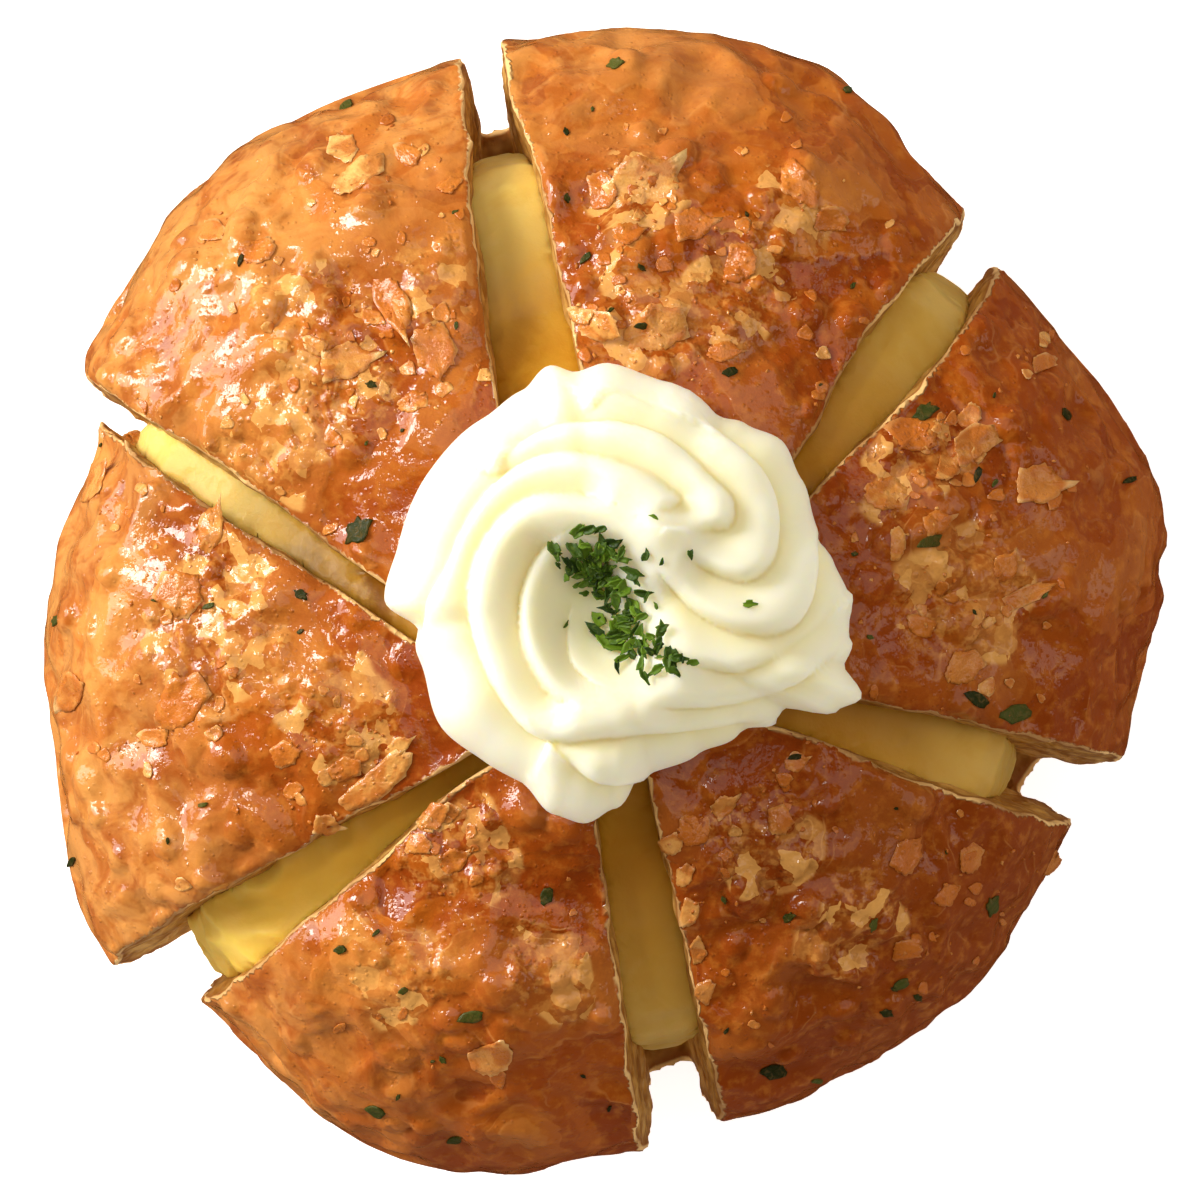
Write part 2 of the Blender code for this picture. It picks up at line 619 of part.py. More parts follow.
def skin_point(bearing, row):
    """A point of the skin. Its ridges stand up near the crest and outwards on the side."""
    share, height = skin_profile(row)
    direction = bearing_vector(bearing)
    plan = ROSETTE_CENTRE + direction * share * rosette_radius(bearing)
    dimple = dimple_share(plan)
    depth = RIDGE_DEPTH * (1 - DIMPLE_RIDGE_SHARE * dimple) * (1 - smoothstep(*RIDGE_END_ROWS, row))
    ridge = depth * (ridge_height(plan) - RIDGE_LEVEL)
    outward = OUTWARD_SHARE * smoothstep(*OUTWARD_ROWS, row)
    plan += direction * ridge * outward
    peak = PEAK_HEIGHT * math.exp(-(((plan - PEAK).length / PEAK_WIDTH) ** 2))
    lift = max(0.0, height - DIMPLE_DEPTH * dimple + ridge * (1 - outward) + peak)
    return Vector((*plan, underside_height(plan) + lift))


def build_rosette_body():
    bm = bmesh.new()
    rows = [i / INNER_ROWS for i in range(1, INNER_ROWS + 1)]
    rows += [1 + i / SIDE_ROWS for i in range(1, SIDE_ROWS + 1)]
    bearings = [360 * i / COLUMNS for i in range(COLUMNS)]
    rings = [[bm.verts.new(skin_point(bearing, row)) for bearing in bearings] for row in rows]
    foot = [vert.co.xy for vert in rings[-1]]
    for share in UNDERSIDE_SHARES:
        plans = [ROSETTE_CENTRE.lerp(point, share) for point in foot]
        rings.append([bm.verts.new((*plan, underside_height(plan))) for plan in plans])
    for first, second in zip(rings, rings[1:]):
        bridge_rings(bm, first, second)
    middle = sum((vert.co.z for vert in rings[0]), 0.0) / len(rings[0])
    close_ring(bm, rings[0], bm.verts.new((*ROSETTE_CENTRE, middle)))
    close_ring(bm, rings[-1], bm.verts.new((*ROSETTE_CENTRE, underside_height(ROSETTE_CENTRE))))
    bmesh.ops.triangulate(bm, faces=bm.faces[:])
    return add_object("cream_rosette", bm)


def build_parsley_bit(name, centre, size, draw, collection):
    """A scrap of leaf: a thin tilted diamond."""
    turn = draw.uniform(0, 2 * math.pi)
    along = Vector((math.cos(turn), math.sin(turn), draw.uniform(*PARSLEY_TILT))) * size / 2
    across = Vector((-math.sin(turn), math.cos(turn), draw.uniform(*PARSLEY_TILT))) * size / 3
    half = Vector((0, 0, PARSLEY_THICKNESS / 2))
    corners = [centre - along, centre + across, centre + along, centre - across]
    bm = bmesh.new()
    loft(bm, [[corner + half for corner in corners], [corner - half for corner in corners]])
    return add_object(name, bm, collection)


def build_rosette():
    rosette = build_rosette_body()
    mesh = rosette.data
    faces = [tuple(face.vertices) for face in mesh.polygons]
    skin = BVHTree.FromPolygons([vert.co for vert in mesh.vertices], faces)
    parsley = new_collection("parsley")
    draw = random.Random(43)
    for index in range(PARSLEY_BITS):
        plan = ROSETTE_CENTRE + PARSLEY_ENDS[0].lerp(PARSLEY_ENDS[1], draw.random())
        plan += bearing_vector(draw.uniform(0, 360)) * draw.random() ** PARSLEY_SPREAD_POWER * PARSLEY_SPREAD
        centre = skin.ray_cast(Vector((*plan, 2 * LOAF_HEIGHT)), Vector((0, 0, -1)))[0]
        build_parsley_bit(f"bit_{index}", centre, draw.uniform(*PARSLEY_SIZE), draw, parsley)
    boolean(rosette, "UNION", parsley)
    rosette.data.materials.append(make_material("rosette", ROSETTE_COLOUR, 0.4))
    return rosette


def main():
    clear_scene()
    for obj in (build_bread(), build_filling(), build_rosette()):
        obj.data.shade_smooth()
        obj.data.set_sharp_from_angle(angle=math.radians(40))


main()
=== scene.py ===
"""Looks of the cut round garlic bread: glazed flaky crust, cream in the cuts, a piped swirl and parsley."""

import json
import math
import random

import bpy
import numpy as np
from mathutils import Matrix, Vector, noise
from mathutils.bvhtree import BVHTree

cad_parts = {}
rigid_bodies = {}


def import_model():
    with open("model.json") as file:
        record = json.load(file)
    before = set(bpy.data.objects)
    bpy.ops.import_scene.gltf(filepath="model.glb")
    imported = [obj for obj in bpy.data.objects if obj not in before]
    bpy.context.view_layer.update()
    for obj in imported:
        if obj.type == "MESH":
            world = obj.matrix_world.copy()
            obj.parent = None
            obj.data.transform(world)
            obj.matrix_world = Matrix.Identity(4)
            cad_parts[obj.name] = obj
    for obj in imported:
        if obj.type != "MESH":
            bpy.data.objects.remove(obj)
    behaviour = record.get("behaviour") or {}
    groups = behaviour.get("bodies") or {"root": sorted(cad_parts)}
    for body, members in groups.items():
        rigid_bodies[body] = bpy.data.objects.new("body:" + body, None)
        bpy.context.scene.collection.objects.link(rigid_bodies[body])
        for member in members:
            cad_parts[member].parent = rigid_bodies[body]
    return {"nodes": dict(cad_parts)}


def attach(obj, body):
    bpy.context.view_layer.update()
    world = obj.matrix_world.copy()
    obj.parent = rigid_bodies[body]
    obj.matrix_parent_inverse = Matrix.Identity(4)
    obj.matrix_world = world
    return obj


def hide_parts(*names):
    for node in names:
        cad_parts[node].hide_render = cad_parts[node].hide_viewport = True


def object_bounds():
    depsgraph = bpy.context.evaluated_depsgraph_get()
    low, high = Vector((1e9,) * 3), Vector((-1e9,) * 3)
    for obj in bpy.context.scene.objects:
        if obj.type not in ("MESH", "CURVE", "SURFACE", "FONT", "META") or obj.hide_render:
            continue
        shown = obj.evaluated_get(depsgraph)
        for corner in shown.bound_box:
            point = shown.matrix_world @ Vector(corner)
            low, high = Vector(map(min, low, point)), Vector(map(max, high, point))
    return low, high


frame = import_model()
cad_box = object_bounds()

MM = 0.001
PLUMB_HEIGHT = 0.2

# Loaf, with the same sizes as its solid: about 120 mm across, widest a little under half of its height.
LOAF_HEIGHT = 57 * MM
WIDEST_HEIGHT = 25 * MM
BASE_RADIUS = 42 * MM
DOME_PLAN_POWER, DOME_RISE_POWER, FLANK_POWER = 0.80, 0.95, 1.25
BALL_WIDEST, BALL_BASE = -0.25, -0.70
RIM_SHARE = 0.995

# Plan radius in mm of each wedge: after the cut before it, half way, and before the next cut.
WEDGES = (
    (57.4, 61.9, 60.2), (60.0, 61.5, 61.0), (56.4, 60.2, 65.4),
    (60.6, 63.8, 59.2), (57.2, 57.4, 56.0), (58.2, 60.6, 55.6),
)
CORNER_ANGLE = 4.5

# Cuts: bearing in degrees, shift, then half the gap by the swirl, half way and at the rim, in mm.
CUTS = (
    (52.3, -9.0, 1.8, 4.0, 3.4), (100.1, 2.3, 4.6, 4.0, 2.4), (145.7, 13.0, 1.6, 2.2, 1.6),
    (215.4, 6.2, 1.0, 3.2, 4.8), (280.2, -1.4, 3.1, 4.0, 4.6), (344.1, -5.5, 2.2, 3.7, 4.2),
)
HUB = np.array((0.0, -9.0)) * MM
HUB_BEND = 20 * MM
INNER_STATION, MIDDLE_STATION, RIM_STATION = 22 * MM, 40 * MM, 57 * MM
CUT_FLOOR, CUT_TOP = 7 * MM, 70 * MM
CUT_LENGTH, CUT_OVERRUN = 74 * MM, 2 * MM
FLOOR_WIDTH_SHARE, FLOOR_WIDTH = 0.45, 0.4 * MM
LEAN_HEIGHT, TEAR_START = 8 * MM, (22 * MM, 30 * MM)
EDGE_DROP, EDGE_DROP_WIDTH = 1.8 * MM, 3.6 * MM

# Crust relief, from broad lumps to blisters and the steps of peeled layers.
LUMP_SIZE, LUMP_HEIGHT = 15 * MM, 1.5 * MM
CRAG_SIZE, CRAG_HEIGHT, CRAG_BLUNTNESS = 6.0 * MM, 1.1 * MM, 0.11
RELIEF_START, RELIEF_FULL = 25 * MM, 30 * MM
FLANK_START, FLANK_FULL = 4 * MM, 14 * MM
LAYER_LEVELS, LAYER_STEP, LAYER_SOFTNESS = (-0.26, -0.08, 0.10, 0.28), 0.26 * MM, 0.012
LAYER_SIZE, LAYER_PLACE = 11 * MM, 23.0
STEP_FADE = (28 * MM, 40 * MM)

# Noise in rows: size in mm, place in the noise, and height in mm, or the share for the layers' warp.
WALL_TEAR = ((5, 7.0, 0.5), (1.8, 3.0, 0.50))
LAYER_WARP = ((2.6, 17.0, 0.10), (1.2, 31.0, 0.055))
SMALL_LUMPS = ((4.6, 5.0, 0.30), (2.4, 15.0, 0.09))
GRAINS = ((1.1, 9.0, 0.12), (2.0, 9.0, 0.24))
AREA_SWAY = ((5, 61.0, 3),)
CREAM_SWELL = ((9, 3.0, 0.5), (3.5, 12.0, 0.25))

# Blisters: size of their cells, share of the cells that hold one, and place in the noise, then height.
LARGE_BLISTERS, LARGE_BLISTER_HEIGHT = (5.2 * MM, 0.36, 0.0), 0.95 * MM
FINE_BLISTERS, FINE_BLISTER_HEIGHT = (2.4 * MM, 0.42, 3.0), 0.52 * MM
BLISTER_RADIUS, CELL_SHUFFLE = 0.42, 7.3

# Where the fine relief fades: by a cut, by the swirl and at the rim. How far the skin is sunk first.
EDGE_FADE, SWIRL_FADE, RIM_FADE = (0.1 * MM, 1.4 * MM), (19 * MM, 23 * MM), (3 * MM, 0.5 * MM)
AREA_CORE, CALM_SHARE, RIM_CALM, SKIN_SINK = 0.55, 0.75, 0.8, 0.5 * MM
STEPS_IN_SMOOTH, STEPS_ON_FLANK, LEAST_SHOWN = 0.4, 0.35, 0.01

# Meshes: steps of the cutters, sizes of the remeshed cubes, and faces or shares kept.
CUTTER_STEPS, BREAD_VOXEL, BREAD_FACES = 55, 0.5 * MM, 97000
CREAM_VOXEL, CREAM_SHARE, WELD = 0.6 * MM, 0.45, 0.01 * MM
SWIRL_SEGMENTS, SWIRL_RINGS = 288, 170
CUT_EDGE = (0.2 * MM, 0.8 * MM)

# Areas of the crust as x, y and radius in mm: smooth under the glaze, and rough with fine grains.
SMOOTH_AREAS = (
    (-43.8, 24.5, 9), (-18.1, 43.8, 7.5), (-19.2, 52, 8), (-2, 53, 9), (9, 54, 8),
    (16, 48.5, 6), (28.5, 50, 8), (36, 41, 5), (50.5, 8.5, 10), (52.6, 20, 8),
    (49, -9, 9), (40, -32.3, 7), (45, -26.9, 6), (-4.2, -52, 9), (-17, -33.5, 6),
    (-52, -10.8, 8), (-48, 6.3, 6), (-24, 10.5, 6),
)
ROUGH_AREAS = (
    (-29, 22, 9), (-36, 14, 7), (-30, 31, 7), (-17, 33, 6), (5, 29, 8),
    (4, 42, 6), (14, 32, 8), (21, 40, 6), (33, 14, 8), (38, 1, 9),
    (18, -26, 7), (26, -34, 7), (-14, -27, 7), (-21, -39, 7), (-40, -4, 9),
    (-28, -12, 9), (-38, 6, 6), (-6, -40, 6),
)

# Cream in the cuts: which points of its skin are raised and how far, its folds, and how far it is widened.
LEVEL_NORMAL, LEVEL_SIDE, LEVEL_REACH = 0.05, 0.2, 2.5 * MM
FOLD_CENTRE, FOLD_REACH = np.array((-36.0, -30.0)) * MM, 11 * MM
FOLD_SIZE, FOLD_PLACE, FOLD_HEIGHT = 5 * MM, 8.0, 1.3 * MM
CREAM_WIDENING = 1.2 * MM

# Swirl: its rim as bearings in degrees and radii in mm about its centre.
SWIRL_CENTRE = np.array((0.8, 0.0)) * MM
SWIRL_RIM = (
    (0, 24.9), (10, 24.3), (20, 22.8), (32, 23.7), (42, 24.4), (52, 23.5), (62, 22.3), (75, 23.2),
    (90, 24.1), (98, 23.3), (104, 24.5), (112, 23.1), (125, 22.4), (145, 22.2), (165, 21.9), (180, 22.8),
    (190, 20.1), (200, 19.8), (218, 21.1), (232, 20.5), (245, 20.4), (256, 22.4), (264, 22.9), (272, 21.8),
    (285, 18.2), (300, 18.7), (315, 20.2), (328, 21.6), (334, 26.0), (339, 27.8), (345, 25.4), (360, 24.9),
)
SWIRL_HEIGHT, SWIRL_GAP, SHOULDER_HEIGHT = 15 * MM, 0.45 * MM, 2.8 * MM
CREST_SHARE, SIDE_POWER, FALL_POWER = 0.46, 0.92, 0.85
ROLL_TURN, ROLL_UNDER = 0.58 * math.pi, 0.07
SKIN_SHARE, FOOT_SHARE = 0.84, 0.16
RIDGE_END, RIDGE_TURN, RIDGE_OUTWARD = (1.85, 2.0), (1.1, 1.8), 0.8
DIMPLE_DEPTH, DIMPLE_CENTRE, DIMPLE_BEARING = 5.8 * MM, np.array((-0.6, -1.2)) * MM, 123.0
DIMPLE_LENGTH, DIMPLE_WIDTH, DIMPLE_CALM = 12.5 * MM, 9.0 * MM, 0.5
RIDGE_DEPTH, RIDGE_LEVEL = 2.6 * MM, 0.6
RIDGE_RISE, RIDGE_FALL = 5.2 * MM, 1.9 * MM
PEAK, PEAK_HEIGHT, PEAK_WIDTH = np.array((6.5, 7.9)) * MM, 1.5 * MM, 2.6 * MM

# Creases between the ridges, counter-clockwise and outwards: how deep each is, and its points in mm.
CREASES = (
    (0.55, ((-2.6, 0.6), (-3.4, -3.0), (-3.0, -6.4), (-1.0, -8.4), (1.6, -9.2))),
    (1.0, ((-3.6, 7.2), (-6.6, 4.6), (-8.2, 0.8), (-8.3, -3.6), (-6.9, -7.6), (-4.8, -10.2), (-1.6, -10.9))),
    (1.0, ((1.6, 10.0), (-2.6, 11.0), (-7.2, 10.8), (-10.6, 8.4), (-12.9, 4.8), (-13.8, 0.6), (-13.2, -4.4),
           (-10.9, -9.6), (-7.8, -13.8), (-4.6, -14.9), (1.6, -14.4), (8.7, -14.1), (14.0, -13.5),
           (18.6, -12.4))),
    (1.0, ((4.6, 8.8), (8.2, 10.2), (6.6, 12.0), (3.4, 13.9), (-0.6, 15.1), (-5.2, 15.4), (-9.0, 14.0),
           (-12.0, 11.4), (-14.6, 7.6), (-16.4, 3.6), (-18.2, 0.4), (-18.6, -2.6), (-17.6, -5.4))),
    (1.0, ((8.4, 7.5), (11.0, 7.3), (13.2, 7.5), (14.1, 9.0), (13.5, 11.2), (11.6, 13.0), (9.6, 15.2),
           (6.6, 17.4), (2.4, 18.7), (-2.4, 18.8), (-6.6, 17.9), (-9.4, 15.9), (-10.8, 13.6))),
    (1.0, ((8.0, 4.8), (10.6, 3.4), (13.0, 2.3), (15.3, 1.9), (17.5, 3.2), (18.8, 5.6), (19.0, 9.2),
           (18.0, 12.6), (16.0, 15.2), (13.0, 17.6), (9.4, 19.4))),
    (1.0, ((5.6, 3.4), (7.6, 1.0), (9.8, -1.2), (12.6, -2.8), (15.6, -3.6), (18.6, -3.6), (21.0, -2.4),
           (22.6, 0.4), (23.2, 4.6), (22.4, 9.0))),
    (0.8, ((8.6, -6.4), (11.4, -7.2), (14.4, -7.6), (17.2, -6.5), (20.2, -4.9), (23.4, -2.6), (25.6, 0.6))),
    (0.8, ((4.6, -11.0), (8.2, -11.3), (12.4, -11.2), (16.6, -10.4), (20.4, -9.0), (23.6, -6.8),
           (25.8, -4.0))),
    (0.9, ((-5.2, -15.0), (-3.6, -16.8), (-1.6, -18.6), (0.6, -19.6), (3.6, -19.5), (7.0, -18.6),
           (11.6, -17.0))),
    (0.45, ((9.2, 18.6), (6.6, 20.0), (3.4, 21.4), (0.8, 21.6), (-0.4, 20.6))),
)
CREASE_STEP, CREASE_FADE, BATCH = 0.25 * MM, 4 * MM, 4000

# Flakes of dry crust: x, y, length and width in mm, turn in degrees, and tone from 0, glazed, to 1, pale.
FLAKES = (
    (-27.3, 48, 3.8, 3.2, 60, 0.9), (-25.6, 45, 7.4, 3.4, 40, 0.95), (-20.3, 47.1, 3.4, 2.8, 0, 0.5),
    (-16, 43.8, 3.2, 2, 20, 0.4), (-41.2, 39, 3.2, 2.6, 0, 0.6), (-36.3, 36.9, 4.4, 2.8, 10, 0.5),
    (-26.7, 25.1, 6.4, 4, 20, 0.7), (-22.2, 31.6, 9.6, 3.8, -62, 0.55), (-17.4, 26.2, 7.4, 4.2, -75, 0.45),
    (-19.7, 20.8, 3.8, 2.6, 30, 0.6), (-29.9, 26.7, 3, 2.4, 0, 0.7), (-24, 29.9, 3.4, 2.2, -30, 0.7),
    (-12.2, 23.5, 1.7, 1.5, 0, 0.9), (0.2, 43, 4.4, 3.4, 90, 0.35), (4.6, 43.6, 8.6, 7.4, 50, 0.8),
    (2.8, 38.5, 4, 3, 20, 0.35), (0, 28.8, 5.8, 3, -20, 0.75), (5.8, 28.4, 7.8, 6.2, 40, 0.7),
    (-2, 29.8, 3, 2.2, 0, 0.85), (21.2, 44.2, 6.8, 4.6, -60, 0.5), (24.2, 40.1, 4, 3, 0, 0.5),
    (14.6, 35.3, 4.8, 3.6, 70, 0.3), (9.8, 39.6, 4.6, 3.6, 20, 0.3), (12.8, 26, 4.6, 2.4, 10, 0.4),
    (29, 18.6, 5.4, 2.6, 80, 0.85), (30.1, 11.1, 5.6, 4.4, 10, 0.75), (33.3, 17.4, 6.2, 4.6, 20, 0.35),
    (36.5, 14.2, 4.8, 3.2, 60, 0.8), (39.4, 16.3, 6, 3.8, 35, 0.65), (38.9, 19.4, 3.2, 2.4, 40, 0.7),
    (46.4, 12.2, 5.8, 4.4, 10, 0.6), (42.8, 3.3, 4.2, 3, 70, 0.5), (44.8, 0.4, 8.4, 1.8, 24, 0.6),
    (38.2, -7.1, 4.8, 4.2, 60, 0.6), (33.9, -2.8, 3.4, 2.8, 0, 0.4), (48.3, 31, 3, 1.6, -70, 0.6),
    (47, 25.1, 3.2, 2, 20, 0.6), (31.2, 5.8, 4, 1.8, 85, 0.7), (35.4, 8.2, 3.4, 2.6, 30, 0.45),
    (-41, 7.2, 6.8, 3, 80, 0.7), (-44.4, 0.8, 6.2, 5, 50, 0.6), (-44.2, -10.8, 8, 5.6, 60, 0.5),
    (-56.2, -9.8, 5, 3.4, 80, 0.6), (-54, 12.4, 6.2, 2.4, 60, 0.7), (-50.3, 17, 3.2, 2.2, 20, 0.8),
    (-23.7, -19.2, 10.2, 3.4, 38, 0.75), (-28.8, -23.7, 3.2, 2.4, 0, 0.75), (-21.3, -15.6, 4.2, 2, 40, 0.8),
    (-33.1, -16.2, 4, 2.6, 20, 0.5), (-26.9, -17.8, 4.4, 3, 30, 0.55), (-47, -14.6, 3.6, 2.6, 20, 0.55),
    (-17.6, -22.6, 4.2, 3.4, 30, 0.75), (-19.2, -25.8, 3.2, 2.4, 0, 0.6), (-11.7, -48.3, 5.2, 3.8, 15, 0.65),
    (-15.4, -27.4, 3.6, 2.6, 40, 0.5), (20.5, -17.2, 3.2, 2.4, 30, 0.7), (18.9, -23.1, 3.4, 3, 0, 0.7),
    (8.9, -29, 3, 2.2, 80, 0.95), (9.5, -32.8, 3.4, 2.4, 95, 0.9), (10.2, -37.1, 3.6, 2.2, 85, 0.9),
    (11.1, -41.4, 3, 2.2, 70, 0.85), (7.4, -25.6, 2.8, 2.4, 20, 0.9), (13, -21.6, 3.2, 2.2, 45, 0.8),
    (9.9, -24.4, 4.6, 4, 60, 0.5), (32.3, -26.9, 5.4, 2.8, 55, 0.35), (39.2, -27.4, 3.8, 3, 80, 0.75),
    (48.3, -28.2, 3.4, 2, 60, 0.7), (36.5, -31.2, 3.8, 2.6, 30, 0.5), (32.3, -37.1, 3.6, 2.4, 10, 0.45),
)
SMALL_FLAKES = 190
CRUMBS = 420

# Scraps of herb on the crust: x, y and length in mm, and turn in degrees.
HERBS = (
    (-25.4, 7.4, 3.4, 60), (-24, 22.7, 1.2, 0), (-27.2, 53, 1.8, 40), (-38, 36, 1.4, 70),
    (-31.4, 0.6, 1.6, -20), (-41.2, -0.6, 1.4, 20), (-56.4, -28, 1.6, 60), (-58, -2.2, 1.2, 80),
    (-5.6, -31.2, 2.4, 80), (-27.4, -36.9, 1.6, 20), (-13.5, -43.8, 2.8, 10), (-20.8, -41.2, 1.3, 30),
    (-23.7, -54.3, 2.2, -25), (-15.4, -57.4, 1.6, 10), (18.4, -50.2, 3.4, 10), (19.9, -33.4, 1.6, 40),
    (28.8, -34.2, 1.5, 80), (31.9, -40.6, 2, 30), (30.4, -43.7, 1.4, 0), (41.6, -32.4, 2.2, 85),
    (20.5, -16.4, 1.5, 10), (23.2, -51.2, 1.2, 0), (39.8, -10.4, 2.8, -30), (43.8, -12.1, 4.2, 18),
    (34.3, 19.9, 2.8, 35), (35, 6.3, 3.4, 15), (39.8, 13.3, 1.8, 70), (49.4, 19.7, 1.7, -50),
    (56.4, 12.8, 1.6, 20), (47, 0.6, 1.3, 70), (13.6, 23.9, 2, 20), (-1.5, 36.1, 1.6, 45),
    (4.4, 28.9, 1.4, 0), (1.7, 57, 1.8, 30), (26.4, 54.4, 1.2, 0), (33.6, 26.2, 1.2, 60),
)

# Chopped parsley, in a band across the dimple, and strays beside it.
PARSLEY_PILE = 130
PARSLEY_ENDS = (np.array((-2.9, 5.0)) * MM, np.array((4.6, -5.9)) * MM)
PARSLEY_SPREAD = 3.6 * MM
PARSLEY_STRAYS = (
    (5.6, 8.6), (6.4, 3.9), (9.3, 4.8), (15.4, -0.4), (6.2, -5.9), (9.6, -6.4), (4.8, 4.6), (-3.6, -2.6),
)

# Scraps: how their outline breaks, the steps in from it, and the steepest crust they lie along.
CORNER_SWAY, CORNER_RADII, TEAR_WAVES = 0.35, (0.66, 1.08), 7
SCRAP_INSETS, FINE_RIM, STEEPEST = (0.14, 0.16), 16, 0.3
LEAF_FOLD, CRUMB_LUMPS = 0.45, (0.8, 0.4)
FLAKE_THICKNESS, HERB_THICKNESS, LEAF_THICKNESS = 0.10 * MM, 0.2 * MM, 0.13 * MM

# Where small scraps are drawn: the bare crust, a ring in mm, and the share near a listed flake.
BARE_RING, DRAWN_RING, NEAR_SHARE, STRAY_HERBS = (25 * MM, 58 * MM), (27, 57), 0.6, 34

# How much larger than listed the scraps are made, how the parsley crowds, and the seeds of the draws.
FLAKE_STRETCH, FLAKE_WIDENING, HERB_STRETCH, PARSLEY_CROWDING = 1.1 * MM, 1.15 * MM, 1.1 * MM, 0.6
FLAKE_SEED, HERB_SEED, CRUMB_SEED, PARSLEY_SEED = 51, 52, 53, 54

# Camera, straight above: its height over the loaf's widest level, and the width that it takes in.
CAMERA_HEIGHT, CAMERA_LEVEL = 1.5, 25 * MM
CAMERA_SENSOR, FRAME_WIDTH = 36.0, 128.6 * MM
CAMERA_RANGE = (0.1, 20.0)


# Small helpers


def deselect():
    if bpy.context.object and bpy.context.object.mode != "OBJECT":
        bpy.ops.object.mode_set(mode="OBJECT")
    bpy.ops.object.select_all(action="DESELECT")


def named(name):
    """The primitive just added, under its own name."""
    obj = bpy.context.object
    obj.name = name
    obj.data.name = name
    return obj


def make_active(obj):
    deselect()
    obj.select_set(True)
    bpy.context.view_layer.objects.active = obj


def apply_modifier(obj, kind, **settings):
    make_active(obj)
    modifier = obj.modifiers.new(kind.lower(), kind)
    for key, value in settings.items():
        setattr(modifier, key, value)
    bpy.ops.object.modifier_apply(modifier=modifier.name)


def remove_all(objects):
    for obj in list(objects):
        bpy.data.objects.remove(obj, do_unlink=True)


def join(objects, name):
    make_active(objects[0])
    for obj in objects:
        obj.select_set(True)
    bpy.ops.object.join()
    return named(name)


def copy_of(master, name):
    """A copy with its own mesh."""
    obj = bpy.data.objects.new(name, master.data.copy())
    bpy.context.scene.collection.objects.link(obj)
    return obj


def points_of(obj, kind="co"):
    points = np.empty(len(obj.data.vertices) * 3)
    obj.data.vertices.foreach_get(kind, points)
    return points.reshape(-1, 3)


def normals_of(obj):
    return points_of(obj, "normal")


def set_points(obj, points):
    obj.data.vertices.foreach_set("co", np.ascontiguousarray(points).ravel())
    obj.data.update()


def store(obj, name, values):
    """A value for every point, or one for all of them, which a material can read."""
    attribute = obj.data.attributes.get(name) or obj.data.attributes.new(name, "FLOAT", "POINT")
    values = np.broadcast_to(values, len(obj.data.vertices))
    attribute.data.foreach_set("value", values.astype(np.float32))


def skin_of(obj):
    faces = [tuple(face.vertices) for face in obj.data.polygons]
    return BVHTree.FromPolygons(points_of(obj).tolist(), faces)


def finish_piece(obj, material, node=None):
    """Keeps the piece inside the solids' box, and gives it its material and body."""
    low, high = (np.array(corner) for corner in cad_box)
    set_points(obj, np.clip(points_of(obj), low, high))
    obj.data.materials.clear()
    obj.data.materials.append(material)
    obj.data.shade_smooth()
    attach(obj, "root")
    if node:
        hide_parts(node)


def smoothstep(low, high, value):
    share = np.clip((value - low) / (high - low), 0.0, 1.0)
    return share * share * (3 - 2 * share)


def bearing_vector(degrees):
    turn = np.radians(degrees)
    return np.stack((np.cos(turn), np.sin(turn)), axis=-1)


def left_of(direction):
    return np.array((-direction[1], direction[0]))


def bearing_of(plan):
    return np.degrees(np.arctan2(plan[..., 1], plan[..., 0])) % 360


def noise_at(points, size, offset=0.0):
    return np.array([noise.noise(point) for point in (points / size + offset).tolist()])


def waves(points, rows):
    """Noise of several sizes, added up."""
    return sum(noise_at(points, size * MM, place) * height for size, place, height in rows)


def below(skin, x, y):
    """Where a plumb line at a plan point meets a skin, and the normal there."""
    return skin.ray_cast(Vector((x, y, PLUMB_HEIGHT)), Vector((0, 0, -1)))[:2]


# Cuts


class Cut:
    """One cut: its middle line is straight outside the swirl and bends to the hub under it."""

    def __init__(self, bearing, shift, inner, middle, rim):
        self.along = bearing_vector(bearing)
        self.across = left_of(self.along)
        self.shift = shift * MM
        self.half_gaps = (inner * MM, middle * MM, rim * MM)
        self.start = HUB @ self.along
        self.rim_bearing = float(bearing_of(self.along * RIM_STATION + self.across * self.shift))

    def middle_shift(self, along):
        hub_shift = HUB @ self.across
        return hub_shift + (self.shift - hub_shift) * smoothstep(self.start, self.start + HUB_BEND, along)

    def half_gap(self, along):
        inner, middle, rim = self.half_gaps
        near = inner + (middle - inner) * smoothstep(INNER_STATION, MIDDLE_STATION, along)
        far = middle + (rim - middle) * smoothstep(MIDDLE_STATION, RIM_STATION, along)
        return np.where(along < MIDDLE_STATION, near, far)

    def point(self, along, side):
        return along[:, None] * self.along + (self.middle_shift(along) + side)[:, None] * self.across

    def distance(self, plan):
        along = plan @ self.along
        beside = np.abs(plan @ self.across - self.middle_shift(along)) - self.half_gap(along)
        return np.where(along < self.start, np.linalg.norm(plan - HUB, axis=-1), np.maximum(0.0, beside))


ALL_CUTS = [Cut(*row) for row in CUTS]


def cut_distance(plan):
    return np.min([cut.distance(plan) for cut in ALL_CUTS], axis=0)


# Form of the loaf


def outline_points():
    points = []
    for index, (first, middle, last) in enumerate(WEDGES):
        start = ALL_CUTS[index].rim_bearing
        end = start + (ALL_CUTS[(index + 1) % len(ALL_CUTS)].rim_bearing - start) % 360
        points += [(start + CORNER_ANGLE, first * MM), ((start + end) / 2, middle * MM)]
        points += [(end - CORNER_ANGLE, last * MM)]
    return points + [(points[0][0] + 360, points[0][1])]


OUTLINE = np.array(outline_points())


def radius_between(knots, bearing):
    """The radius at a bearing, smoothly between rows of bearing and radius."""
    index = np.clip(np.searchsorted(knots[:, 0], bearing) - 1, 0, len(knots) - 2)
    low, high = knots[index], knots[index + 1]
    return low[:, 1] + (high[:, 1] - low[:, 1]) * smoothstep(low[:, 0], high[:, 0], bearing)


